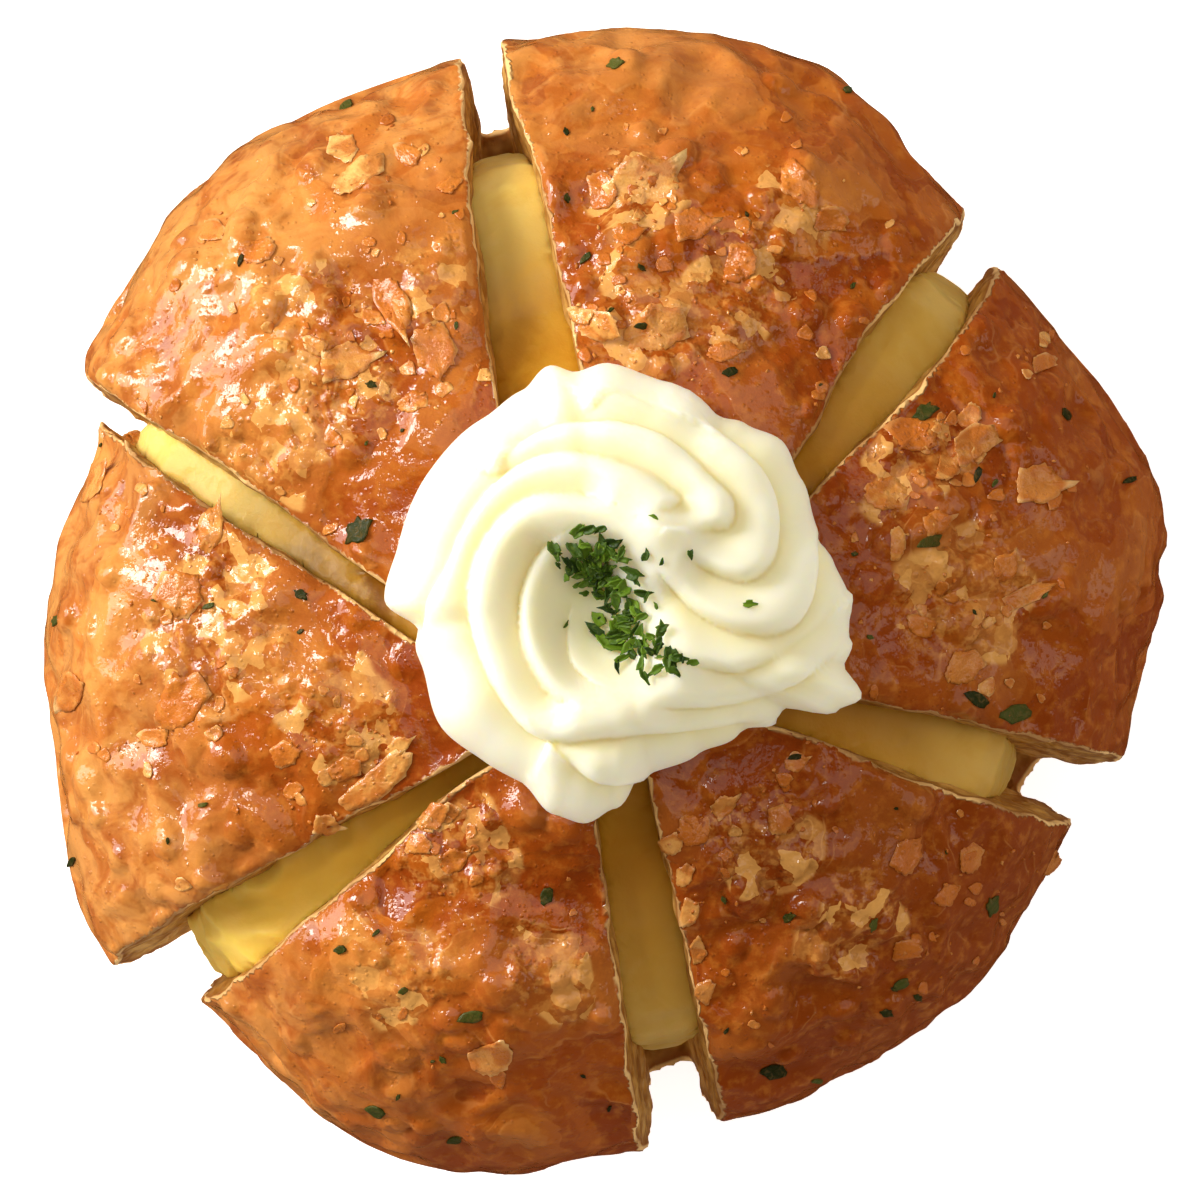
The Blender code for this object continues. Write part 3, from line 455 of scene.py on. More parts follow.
def loaf_radius(bearing):
    return radius_between(OUTLINE, OUTLINE[0, 0] + (bearing - OUTLINE[0, 0]) % 360)


def plain_crust(bearing, sine):
    """Points of the loaf without relief. Sine runs from -1 on the underside to 1 at the crown."""
    radius = loaf_radius(bearing)
    direction = bearing_vector(bearing)
    up = np.clip(sine, 0, 1)
    dome = radius * (1 - up * up) ** (DOME_PLAN_POWER / 2)
    height = WIDEST_HEIGHT + (LOAF_HEIGHT - WIDEST_HEIGHT) * up**DOME_RISE_POWER
    drop = EDGE_DROP * np.exp(-cut_distance(direction * dome[:, None]) / EDGE_DROP_WIDTH)
    height -= drop * up * smoothstep(RELIEF_START, RELIEF_FULL, dome)
    base = (BALL_BASE - BALL_WIDEST) / (1 + BALL_WIDEST)
    turn = math.pi / 2 * np.clip(sine / base, 0, 1)
    flank = BASE_RADIUS + (radius - BASE_RADIUS) * np.cos(turn) ** FLANK_POWER
    flank_height = WIDEST_HEIGHT * (1 - np.sin(turn) ** FLANK_POWER)
    under = BASE_RADIUS * np.sqrt(np.clip((1 - sine * sine) / (1 - base * base), 0, 1))
    reach = np.where(sine >= 0, dome, np.where(sine > base, flank, under))
    height = np.where(sine >= 0, height, np.where(sine > base, flank_height, 0.0))
    return np.column_stack((direction * reach[:, None], height))


def crust_normal(bearing, sine):
    """Directions out of the plain loaf, from small steps round it and up it."""
    turn, rise = 0.5, 0.01
    sine = np.minimum(1 - 2 * rise, sine)
    east = plain_crust(bearing + turn, sine) - plain_crust(bearing - turn, sine)
    north = plain_crust(bearing, sine + rise) - plain_crust(bearing, sine - rise)
    normal = np.cross(east, north)
    return normal / np.maximum(1e-12, np.linalg.norm(normal, axis=1))[:, None]


def open_crust(points):
    """1 where the crust is bare and baked, 0 under the swirl and at the foot."""
    outside = smoothstep(RELIEF_START, RELIEF_FULL, np.linalg.norm(points[:, :2], axis=1))
    return outside * smoothstep(FLANK_START, FLANK_FULL, points[:, 2])


def relief(points):
    lumps = noise_at(points, LUMP_SIZE) * LUMP_HEIGHT
    crags = (0.5 - 2 * np.hypot(noise_at(points, CRAG_SIZE), CRAG_BLUNTNESS)) * CRAG_HEIGHT
    return open_crust(points) * (lumps + crags)


def crust_sine(plan):
    share = np.minimum(RIM_SHARE, np.linalg.norm(plan, axis=1) / loaf_radius(bearing_of(plan)))
    return np.sqrt(1 - share ** (2 / DOME_PLAN_POWER))


def dome_height(plan):
    return plain_crust(bearing_of(plan), crust_sine(plan))[:, 2]


def loaf_form(ball):
    """Draws a ball's points out to the loaf."""
    rise = np.clip(ball[:, 2] / np.linalg.norm(ball, axis=1), -1, 1)
    sine = (rise - BALL_WIDEST) / np.where(rise > BALL_WIDEST, 1 - BALL_WIDEST, 1 + BALL_WIDEST)
    bearing = bearing_of(ball[:, :2])
    points = plain_crust(bearing, sine)
    return points + crust_normal(bearing, sine) * (relief(points) * (sine > 0))[:, None]


# Bread


def cutter_form(cut, cube):
    """Draws a cube's points out to a cut, whose walls lean outwards and are a little uneven."""
    along = cut.start - CUT_OVERRUN + (CUT_LENGTH - cut.start + CUT_OVERRUN) * (cube[:, 0] + 1) / 2
    height = CUT_FLOOR + (CUT_TOP - CUT_FLOOR) * (cube[:, 2] + 1) / 2
    crust_level = np.maximum(CUT_FLOOR + LEAN_HEIGHT, dome_height(cut.point(along, np.zeros_like(along))))
    wide = cut.half_gap(along)
    narrow = wide * FLOOR_WIDTH_SHARE + FLOOR_WIDTH
    half = narrow + (wide - narrow) * (height - CUT_FLOOR) / (crust_level - CUT_FLOOR)
    plan = cut.point(along, cube[:, 1] * half)
    points = np.column_stack((plan, height))
    tear = waves(points, WALL_TEAR) * MM
    points[:, :2] += tear[:, None] * cut.across * smoothstep(*TEAR_START, along)[:, None]
    return points


def peeled_layers(points):
    """A smooth value over the crust. Where it passes each of LAYER_LEVELS, one thin layer ends."""
    return noise_at(points, LAYER_SIZE, LAYER_PLACE) + waves(points, LAYER_WARP)


def blisters(points, size, share, offset):
    """Round blisters in a share of the cells of this size: 1 on top of one, 0 between them."""
    height = np.zeros(len(points))
    for index, point in enumerate((points / size + offset).tolist()):
        distances, cells = noise.voronoi(point)
        if noise.cell(cells[0] * CELL_SHUFFLE) < share:
            height[index] = max(0.0, 1 - (distances[0] / BLISTER_RADIUS) ** 2)
    return np.sqrt(height)


def share_in(areas, points):
    """1 in the middle of any of the areas, falling to 0 at its rim, which is uneven."""
    share = np.zeros(len(points))
    sway = waves(points, AREA_SWAY) * MM
    for x, y, radius in areas:
        reach = np.hypot(points[:, 0] - x * MM, points[:, 1] - y * MM) + sway
        share = np.maximum(share, 1 - smoothstep(AREA_CORE * radius * MM, radius * MM, reach))
    return share


def crust_detail(points, layer, rough):
    """Height of the fine relief: small lumps, blisters, grains, and the steps where thin layers end."""
    edges = [smoothstep(level - LAYER_SOFTNESS, level + LAYER_SOFTNESS, layer) for level in LAYER_LEVELS]
    small = waves(points, SMALL_LUMPS) * MM
    grains = waves(points, GRAINS) * MM
    large = blisters(points, *LARGE_BLISTERS) * LARGE_BLISTER_HEIGHT
    fine = blisters(points, *FINE_BLISTERS) * FINE_BLISTER_HEIGHT
    calm = 1 - CALM_SHARE * share_in(SMOOTH_AREAS, points)
    shown = STEPS_IN_SMOOTH + (1 - STEPS_IN_SMOOTH) * calm
    shown *= STEPS_ON_FLANK + (1 - STEPS_ON_FLANK) * smoothstep(*STEP_FADE, points[:, 2])
    return sum(edges) * LAYER_STEP * shown + calm * (small + large) + rough * (grains + fine)


def detail_share(points):
    """1 where the fine relief is full. It fades by a cut, by the swirl, low on the flank and at the rim."""
    plan = points[:, :2]
    reach = np.linalg.norm(plan, axis=1)
    share = smoothstep(*EDGE_FADE, cut_distance(plan)) * smoothstep(*SWIRL_FADE, reach)
    share *= smoothstep(FLANK_START, FLANK_FULL, points[:, 2])
    return share * (1 - RIM_CALM * smoothstep(*RIM_FADE, loaf_radius(bearing_of(plan)) - reach))


def build_bread():
    deselect()
    bpy.ops.mesh.primitive_ico_sphere_add(subdivisions=7, radius=1.0)
    bread = named("baked_bread")
    set_points(bread, loaf_form(points_of(bread)))
    uncut = skin_of(bread)
    cutters = bpy.data.collections.new("cutters")
    bpy.context.scene.collection.children.link(cutters)
    for cut in ALL_CUTS:
        deselect()
        bpy.ops.mesh.primitive_cube_add(size=2.0)
        cutter = named("cutter")
        bpy.ops.object.mode_set(mode="EDIT")
        bpy.ops.mesh.subdivide(number_cuts=CUTTER_STEPS)
        bpy.ops.object.mode_set(mode="OBJECT")
        set_points(cutter, cutter_form(cut, points_of(cutter)))
        for collection in list(cutter.users_collection):
            collection.objects.unlink(cutter)
        cutters.objects.link(cutter)
    apply_modifier(bread, "BOOLEAN", operation="DIFFERENCE", operand_type="COLLECTION", collection=cutters,
                   solver="MANIFOLD")
    remove_all(cutters.objects)
    bpy.data.collections.remove(cutters)
    apply_modifier(bread, "REMESH", mode="VOXEL", voxel_size=BREAD_VOXEL)
    points = points_of(bread)
    on_crust = detail_share(points)
    shown = on_crust > LEAST_SHOWN
    height, layer = np.zeros(len(points)), np.zeros(len(points))
    layer[shown] = peeled_layers(points[shown])
    rough = share_in(ROUGH_AREAS, points) * on_crust
    height[shown] = crust_detail(points[shown], layer[shown], rough[shown]) - SKIN_SINK
    set_points(bread, points + normals_of(bread) * (on_crust * height)[:, None])
    store(bread, "layer", layer)
    store(bread, "rough", rough)
    apply_modifier(bread, "DECIMATE", ratio=min(1.0, BREAD_FACES / len(bread.data.polygons)))
    points = points_of(bread)
    depth = np.zeros(len(points))
    for index, point in enumerate(points.tolist()):
        near, normal, _, distance = uncut.find_nearest(point)
        if (Vector(point) - near).dot(normal) < 0:
            depth[index] = distance
    in_cut = 1 - smoothstep(*CUT_EDGE, cut_distance(points[:, :2]))
    store(bread, "cut_depth", depth * in_cut / MM)
    return bread


# Cream


def level_across(points, normals, skin):
    """Raises the cream's upper skin beside each wall to its height half way between the walls."""
    points = points.copy()
    plans = points[:, :2]
    nearest = np.argmin([cut.distance(plans) for cut in ALL_CUTS], axis=0)
    for index, cut in enumerate(ALL_CUTS):
        along = plans @ cut.along
        beside = np.abs(plans @ cut.across - cut.middle_shift(along)) / cut.half_gap(along)
        upper = (normals[:, 2] > LEVEL_NORMAL) & (beside > LEVEL_SIDE)
        chosen = (nearest == index) & (along > INNER_STATION) & upper
        middles = cut.point(along[chosen], np.zeros(chosen.sum()))
        for row, (x, y) in zip(np.flatnonzero(chosen), middles.tolist()):
            hit, _ = below(skin, x, y)
            if hit is not None and 0 < hit.z - points[row, 2] < LEVEL_REACH:
                points[row, 2] = hit.z
    return points


def build_slit_cream():
    cream = copy_of(frame["nodes"]["cream_filling"], "slit_cream")
    make_active(cream)
    bpy.ops.object.mode_set(mode="EDIT")
    bpy.ops.mesh.select_all(action="SELECT")
    bpy.ops.mesh.remove_doubles(threshold=WELD)
    bpy.ops.object.mode_set(mode="OBJECT")
    apply_modifier(cream, "REMESH", mode="VOXEL", voxel_size=CREAM_VOXEL)
    apply_modifier(cream, "SMOOTH", factor=0.5, iterations=2)
    points = level_across(points_of(cream), normals_of(cream), skin_of(cream))
    set_points(cream, points)
    swell = waves(points, CREAM_SWELL) * MM
    folded = np.exp(-(np.linalg.norm(points[:, :2] - FOLD_CENTRE, axis=1) / FOLD_REACH) ** 2)
    swell += folded * (0.5 - 2 * np.abs(noise_at(points, FOLD_SIZE, FOLD_PLACE))) * FOLD_HEIGHT
    normals = normals_of(cream)
    points += normals * swell[:, None]
    points[:, :2] += normals[:, :2] * CREAM_WIDENING
    set_points(cream, points)
    apply_modifier(cream, "DECIMATE", ratio=CREAM_SHARE)
    return cream


def smooth_line(points):
    """Close points on a smooth curve through the listed ones."""
    knots = np.array(points) * MM
    knots = np.vstack((2 * knots[0] - knots[1], knots, 2 * knots[-1] - knots[-2]))
    line = []
    for a, b, c, d in zip(knots, knots[1:], knots[2:], knots[3:]):
        count = max(2, int(np.linalg.norm(c - b) / CREASE_STEP))
        t = np.linspace(0, 1, count, endpoint=False)[:, None]
        curve = (2 * a - 5 * b + 4 * c - d) * t**2 + (3 * b - a - 3 * c + d) * t**3
        line.append(0.5 * (2 * b + (c - a) * t + curve))
    return np.vstack(line)


def crease_points():
    """Points of every crease, the outward direction there, and how deep the crease is there."""
    places, outward, depth = [], [], []
    for strength, points in CREASES:
        line = smooth_line(points)
        run = np.gradient(line, axis=0)
        run /= np.linalg.norm(run, axis=1)[:, None]
        length = np.arange(len(line)) * CREASE_STEP
        fade = smoothstep(0, CREASE_FADE, length) * smoothstep(0, CREASE_FADE, length[-1] - length)
        places.append(line)
        outward.append(np.column_stack((run[:, 1], -run[:, 0])))
        depth.append(strength * fade)
    return np.vstack(places), np.vstack(outward), np.concatenate(depth)


def ridge_height(plan):
    """0 in a crease. From it the skin rises gently outwards, and falls steeply into the next crease."""
    places, outward, depth = crease_points()
    ridge = np.ones(len(plan))
    for start in range(0, len(plan), BATCH):
        part = plan[start:start + BATCH]
        offset = part[:, None, :] - places[None]
        distance = np.linalg.norm(offset, axis=2)
        beyond = np.einsum("ijk,jk->ij", offset, outward) > 0
        height = np.ones(len(part))
        for side, reach in ((beyond, RIDGE_RISE), (~beyond, RIDGE_FALL)):
            near = np.where(side, distance, 1.0)
            nearest = near.argmin(axis=1)
            share = np.clip(near[np.arange(len(part)), nearest] / reach, 0, 1)
            rise = np.sqrt(1 - (1 - share) ** 2) if reach == RIDGE_FALL else np.sin(share * math.pi / 2)
            height *= 1 - depth[nearest] * (1 - rise)
        ridge[start:start + BATCH] = height
    return ridge


def swirl_radius(bearing):
    return radius_between(np.array(SWIRL_RIM, float), bearing % 360) * MM


def dimple_share(plan):
    """1 in the middle of the dimple, falling to 0 round it."""
    along = bearing_vector(DIMPLE_BEARING)
    offset = plan - DIMPLE_CENTRE
    reach = np.hypot(offset @ along / DIMPLE_LENGTH, offset @ left_of(along) / DIMPLE_WIDTH)
    return 1 - smoothstep(0.0, 1.0, reach)


def swirl_form(ball):
    """Draws a ball's points out to the swirl. Also gives how deep each is in a crease and in the dimple."""
    turn = np.arccos(np.clip(ball[:, 2] / np.linalg.norm(ball, axis=1), -1, 1)) / math.pi
    row = np.clip(turn / SKIN_SHARE, 0, 1) * 2
    bearing = bearing_of(ball[:, :2])
    side = ROLL_TURN * np.clip(row - 1, 0, 1)
    under = smoothstep(math.pi / 2, ROLL_TURN, side)
    bulge = np.sin(np.minimum(side, math.pi / 2)) ** SIDE_POWER
    share = CREST_SHARE + (1 - CREST_SHARE) * bulge - ROLL_UNDER * under
    share = np.where(row <= 1, CREST_SHARE * row, share)
    fall = np.clip(np.cos(side), 0, 1) ** FALL_POWER
    height = (SHOULDER_HEIGHT + (SWIRL_HEIGHT - SHOULDER_HEIGHT) * fall) * (1 - under)
    direction = bearing_vector(bearing)
    plan = SWIRL_CENTRE + direction * (share * swirl_radius(bearing))[:, None]
    dimple = dimple_share(plan)
    height -= DIMPLE_DEPTH * dimple
    rise = ridge_height(plan)
    depth = RIDGE_DEPTH * (1 - DIMPLE_CALM * dimple) * (1 - smoothstep(*RIDGE_END, row))
    ridge = depth * (rise - RIDGE_LEVEL)
    outward = RIDGE_OUTWARD * smoothstep(*RIDGE_TURN, row)
    plan += direction * (ridge * outward)[:, None]
    peak = PEAK_HEIGHT * np.exp(-((np.linalg.norm(plan - PEAK, axis=1) / PEAK_WIDTH) ** 2))
    lift = np.maximum(0, height + ridge * (1 - outward) + peak)
    foot = np.clip((1 - turn) / FOOT_SHARE, 0, 1)
    on_foot = turn > SKIN_SHARE
    plan = np.where(on_foot[:, None], SWIRL_CENTRE + (plan - SWIRL_CENTRE) * foot[:, None], plan)
    lift = np.where(on_foot, 0, lift)
    points = np.column_stack((plan, dome_height(plan) + SWIRL_GAP + lift))
    return points, (1 - rise) * ~on_foot, dimple


def build_swirl():
    deselect()
    bpy.ops.mesh.primitive_uv_sphere_add(segments=SWIRL_SEGMENTS, ring_count=SWIRL_RINGS, radius=1.0)
    swirl = named("cream_swirl")
    points, crease, dimple = swirl_form(points_of(swirl))
    set_points(swirl, points)
    store(swirl, "crease", crease)
    store(swirl, "dimple", dimple)
    apply_modifier(swirl, "SMOOTH", factor=0.5, iterations=1)
    return swirl


# Flakes, herb, crumbs and parsley


def scrap_master(name, corners, rim, seed, jag):
    """A thin flat scrap one unit across, with a ragged outline of a few broken corners."""
    deselect()
    bpy.ops.mesh.primitive_circle_add(vertices=rim, radius=0.5, fill_type="NGON")
    scrap = named(name)
    bpy.ops.object.mode_set(mode="EDIT")
    bpy.ops.mesh.select_all(action="SELECT")
    for thickness in SCRAP_INSETS if rim > FINE_RIM else SCRAP_INSETS[:1]:
        bpy.ops.mesh.inset(thickness=thickness)
    bpy.ops.mesh.poke()
    bpy.ops.object.mode_set(mode="OBJECT")
    draw = random.Random(seed)
    sways = [draw.uniform(-CORNER_SWAY, CORNER_SWAY) for _ in range(corners)]
    angles = sorted((i + sway) / corners * 2 * math.pi for i, sway in enumerate(sways))
    radii = [draw.uniform(*CORNER_RADII) for _ in range(corners)]
    points = points_of(scrap)
    turn = np.arctan2(points[:, 1], points[:, 0]) % (2 * math.pi)
    corner_points = np.array([(math.cos(a) * r, math.sin(a) * r) for a, r in zip(angles, radii)])
    out = np.empty(len(points))
    for index, angle in enumerate(turn):
        i = int(np.searchsorted(angles, angle)) - 1
        a, b = corner_points[i], corner_points[(i + 1) % corners]
        ray = np.array((math.cos(angle), math.sin(angle)))
        edge = b - a
        out[index] = (a[0] * edge[1] - a[1] * edge[0]) / (ray[0] * edge[1] - ray[1] * edge[0])
    reach = np.linalg.norm(points[:, :2], axis=1) * 2
    ring = [(math.cos(a) * TEAR_WAVES + seed, math.sin(a) * TEAR_WAVES, 0.0) for a in turn]
    tear = np.array([noise.noise(place) for place in ring])
    points[:, :2] *= (out * (1 + jag * tear * reach))[:, None]
    set_points(scrap, points)
    return scrap


def gather(placed, masters, name, thickness):
    """Joins the scraps to one piece, thickens them and removes what they were copied from."""
    piece = join(placed, name)
    apply_modifier(piece, "SOLIDIFY", thickness=thickness, offset=0.0)
    remove_all(masters)
    return piece


def around(draw, centre, ring):
    """A random plan point in a ring about a centre. Both are in mm."""
    return np.array(centre) * MM + bearing_vector(draw.uniform(0, 360)) * draw.uniform(*ring) * MM


def on_bare_crust(plan, beside):
    """True outside the swirl, inside the rim and this far from every cut."""
    inner, outer = BARE_RING
    return cut_distance(plan[None])[0] >= beside and inner < np.linalg.norm(plan) < outer


def seat(scrap, skin, x, y, length, width, turn, lift, curl, sink, step):
    """Lays a scrap's points on the skin round a plan point, one side of it sunk. False off the bread."""
    middle, normal = below(skin, x, y)
    if middle is None:
        return False
    points = points_of(scrap)
    along = bearing_vector(turn)
    plan = np.array((x, y)) + points[:, :1] * length * along + points[:, 1:2] * width * left_of(along)
    normal = np.array(normal)
    out = []
    for (px, py), (u, v, _) in zip(plan.tolist(), points.tolist()):
        hit, _ = below(skin, px, py)
        level = middle.z - ((px - x) * normal[0] + (py - y) * normal[1]) / max(STEEPEST, normal[2])
        z = level if hit is None else min(max(hit.z, level - step), level + 2 * step)
        rise = lift + curl * (u * u + v * v) * 4 + sink * u
        out.append(np.array((px, py, z)) + normal * rise)
    set_points(scrap, np.array(out))
    return True


def build_flakes(skin):
    draw = random.Random(FLAKE_SEED)
    large = [scrap_master(f"flake_{i}", corners=5 + i % 3, rim=40, seed=60 + i, jag=0.22) for i in range(8)]
    small = [scrap_master(f"chip_{i}", corners=4 + i % 3, rim=12, seed=80 + i, jag=0.25) for i in range(6)]
    placed = []

    def lay(master, x, y, length, width, turn, tone):
        scrap = copy_of(master, "scrap")
        scale = min(1.0, length / (5 * MM))
        curl, sink = draw.uniform(-0.05, 0.22) * MM * scale, draw.uniform(-0.45, 0.45) * MM * scale
        store(scrap, "rim", np.linalg.norm(points_of(scrap)[:, :2], axis=1) * 2)
        if not seat(scrap, skin, x, y, length, width, turn, 0.07 * MM, curl, sink, step=0.6 * MM):
            remove_all([scrap])
            return
        store(scrap, "tone", tone)
        placed.append(scrap)

    for index, (x, y, length, width, turn, tone) in enumerate(FLAKES):
        size = length * FLAKE_STRETCH, width * FLAKE_WIDENING
        lay(large[index % len(large)], x * MM, y * MM, *size, turn, tone)
    count = 0
    while count < SMALL_FLAKES:
        if draw.random() < NEAR_SHARE:
            plan = around(draw, draw.choice(FLAKES)[:2], ring=(1.5, 8))
        else:
            plan = around(draw, (0, 0), DRAWN_RING)
        size = draw.uniform(0.7, 2.6) * MM
        turn, tone, master = draw.uniform(0, 360), draw.uniform(0.1, 1.0), draw.choice(small)
        if on_bare_crust(plan, beside=0.6 * MM):
            lay(master, *plan, size, size * draw.uniform(0.6, 1.0), turn, tone)
            count += 1
    return gather(placed, large + small, "crust_flakes", FLAKE_THICKNESS)


def build_herbs(skin):
    draw = random.Random(HERB_SEED)
    masters = [scrap_master(f"herb_{i}", corners=5 + i, rim=14, seed=100 + i, jag=0.45) for i in range(3)]
    placed = []
    rows = [(x * MM, y * MM, length, turn) for x, y, length, turn in HERBS]
    while len(rows) < len(HERBS) + STRAY_HERBS:
        plan = around(draw, (0, 0), DRAWN_RING)
        if cut_distance(plan[None])[0] > 1 * MM:
            rows.append((*plan, draw.uniform(0.5, 1.1), draw.uniform(0, 360)))
    for x, y, length, turn in rows:
        scrap = copy_of(draw.choice(masters), "scrap")
        size = length * HERB_STRETCH
        width = size * draw.uniform(0.5, 0.75)
        if seat(scrap, skin, x, y, size, width, turn, 0.08 * MM, curl=0.05 * MM, sink=0.0, step=0.5 * MM):
            store(scrap, "tone", draw.random())
            placed.append(scrap)
    return gather(placed, masters, "herb_flecks", HERB_THICKNESS)


def build_crumbs(skin):
    draw = random.Random(CRUMB_SEED)
    deselect()
    bpy.ops.mesh.primitive_ico_sphere_add(subdivisions=1, radius=0.5)
    master = named("crumb")
    points = points_of(master)
    swell, size = CRUMB_LUMPS
    set_points(master, points * (1 + swell * noise_at(points, size))[:, None])
    placed = []
    while len(placed) < CRUMBS:
        plan = around(draw, draw.choice(FLAKES)[:2], ring=(0, 7))
        if not on_bare_crust(plan, beside=0.3 * MM):
            continue
        hit, _ = below(skin, *plan)
        if hit is None:
            continue
        crumb = copy_of(master, "scrap")
        size = draw.uniform(0.25, 0.75) * MM
        angle = draw.uniform(0, 6.3)
        axis = Vector((draw.random(), draw.random(), 1.0)).normalized()
        place = Matrix.Translation(hit) @ Matrix.Rotation(angle, 4, axis)
        crumb.data.transform(place @ Matrix.Diagonal((size, size * 0.8, size * 0.6, 1.0)))
        store(crumb, "tone", draw.uniform(0.2, 0.9))
        store(crumb, "rim", 0.0)
        placed.append(crumb)
    crumbs = join(placed, "crust_crumbs")
    remove_all([master])
    return crumbs


def build_parsley(skin):
    draw = random.Random(PARSLEY_SEED)
    masters = [scrap_master(f"leaf_{i}", corners=5 + i, rim=14, seed=120 + i, jag=0.7) for i in range(5)]
    for master in masters:
        points = points_of(master)
        points[:, 2] = np.abs(points[:, 1]) * LEAF_FOLD
        set_points(master, points)
    places = []
    for _ in range(PARSLEY_PILE):
        share = draw.random()
        plan = SWIRL_CENTRE + PARSLEY_ENDS[0] * (1 - share) + PARSLEY_ENDS[1] * share
        bearing = draw.uniform(0, 360)
        reach = draw.random() ** PARSLEY_CROWDING * PARSLEY_SPREAD
        plan = plan + bearing_vector(bearing) * reach
        places.append((*plan, draw.uniform(1.0, 2.9) * MM, draw.uniform(0.1, 0.9) * MM))
    for x, y in PARSLEY_STRAYS:
        places.append((x * MM, y * MM, draw.uniform(0.8, 1.8) * MM, 0.15 * MM))
    placed = []
    for x, y, size, lift in places:
        hit, normal = below(skin, x, y)
        leaf = copy_of(draw.choice(masters), "scrap")
        up = Vector((draw.uniform(-0.7, 0.7), draw.uniform(-0.7, 0.7), 1.0)) + normal * 0.6
        tilt = up.normalized().to_track_quat("Z", "Y").to_matrix().to_4x4()
        turn = Matrix.Rotation(draw.uniform(0, 6.3), 4, "Z")
        place = Matrix.Translation(hit + Vector((0, 0, lift))) @ tilt @ turn
        leaf.data.transform(place @ Matrix.Diagonal((size, size * draw.uniform(0.3, 0.7), size, 1.0)))
        store(leaf, "tone", draw.random())
        placed.append(leaf)
    return gather(placed, masters, "chopped_parsley", LEAF_THICKNESS)


# Materials


class Shade:
    """A material's node tree, with short calls for the nodes used here."""

    def __init__(self, name):
        self.material = bpy.data.materials.new(name)
        self.material.use_nodes = True
        self.tree = self.material.node_tree
        self.shader = self.tree.nodes["Principled BSDF"]
        self.place = self.node("ShaderNodeTexCoord").outputs["Object"]
        self.x, self.y, self.z = self.node("ShaderNodeSeparateXYZ", {0: self.place}).outputs
        squares = self.plus(self.times(self.x, self.x), self.times(self.y, self.y))
        self.reach = self.math("SQRT", squares)

    def node(self, kind, inputs=None, **settings):
        node = self.tree.nodes.new(kind)
        for key, value in settings.items():
            setattr(node, key, value)
        for key, value in (inputs or {}).items():
            self.set(node.inputs[key], value)
        return node

    def set(self, socket, value):
        if isinstance(value, bpy.types.NodeSocket):
            self.tree.links.new(value, socket)
        else:
            socket.default_value = value

    def finish(self, colour, roughness, height=None, strength=1.0, **others):
        """The material with its colour, roughness, height of relief in millimetres, and other inputs."""
        inputs = {"Base_Color": colour, "Roughness": roughness, **others}
        if height is not None:
            settings = {"Height": height, "Distance": MM, "Strength": strength}
            normal = self.node("ShaderNodeBump", settings).outputs["Normal"]
            inputs.update(Normal=normal, Coat_Normal=normal)
        for key, value in inputs.items():
            self.set(self.shader.inputs[key.replace("_", " ")], value)
        return self.material

    def noise(self, scale, detail=2.0, roughness=0.5, distortion=0.0, shift=0.0):
        place = self.node("ShaderNodeMapping", {"Vector": self.place, "Location": (shift, shift, shift)})
        inputs = {"Vector": place.outputs[0], "Scale": scale, "Detail": detail, "Roughness": roughness,
                  "Distortion": distortion}
        return self.node("ShaderNodeTexNoise", inputs).outputs["Fac"]

    def cells(self, scale, place=None):
        """Angular cells: each point's distance from the middle of its cell, and the cell's random numbers."""
        cells = self.node("ShaderNodeTexVoronoi", {"Vector": place or self.place, "Scale": scale})
        colour = self.node("ShaderNodeSeparateColor", {0: cells.outputs["Color"]})
        return cells.outputs["Distance"], colour.outputs

    def random_cells(self, scale):
        """One random number for each angular cell."""
        sway = self.node("ShaderNodeTexNoise", {"Vector": self.place, "Scale": scale * 1.5}).outputs["Color"]
        inputs = {0: sway, 1: (0.6 / scale,) * 3, 2: self.place}
        place = self.node("ShaderNodeVectorMath", inputs, operation="MULTIPLY_ADD").outputs[0]
        return self.cells(scale, place)[1][0]

    def beads(self, scale, sparse):
        """Round beads in some of the cells: 1 on top of a bead, 0 between them."""
        distance, colour = self.cells(scale)
        chosen = self.remap(colour[1], sparse, sparse + 0.02)
        return self.times(self.remap(distance, 0.0, 0.5, 1.0, 0.0), chosen)

    def lit_side(self):
        """Metres towards the lit side. Colours that follow it paint light here and shade on the other side.
        """
        return self.less(self.times(self.y, 0.30), self.times(self.x, 0.95))

    def value(self, name):
        return self.node("ShaderNodeAttribute", attribute_name=name).outputs["Fac"]

    def remap(self, value, low, high, new_low=0.0, new_high=1.0):
        inputs = {"Value": value, "From Min": low, "From Max": high, "To Min": new_low, "To Max": new_high}
        return self.node("ShaderNodeMapRange", inputs, interpolation_type="SMOOTHSTEP").outputs["Result"]

    def math(self, operation, first, second=0.0):
        return self.node("ShaderNodeMath", {0: first, 1: second}, operation=operation).outputs[0]

    def times(self, first, second):
        return self.math("MULTIPLY", first, second)

    def plus(self, first, second):
        return self.math("ADD", first, second)

    def less(self, first, second):
        return self.math("SUBTRACT", first, second)

    def mix(self, share, first, second):
        def colour(value):
            return value if isinstance(value, bpy.types.NodeSocket) else (*value, 1.0)

        inputs = {0: share, 6: colour(first), 7: colour(second)}
        return self.node("ShaderNodeMix", inputs, data_type="RGBA").outputs[2]

    def ramp(self, value, *stops):
        node = self.node("ShaderNodeValToRGB", {"Fac": value})
        elements = node.color_ramp.elements
        while len(elements) < len(stops):
            elements.new(0.5)
        for element, (position, colour) in zip(elements, stops):
            element.position = position
            element.color = (*colour, 1.0)
        return node.outputs["Color"]

    def tint(self, colour, other, value, low, high, least=0.0, most=1.0):
        """Mixes in another colour by a share that follows a value. Places and distances are in metres."""
        return self.mix(self.remap(value, low, high, least, most), colour, other)
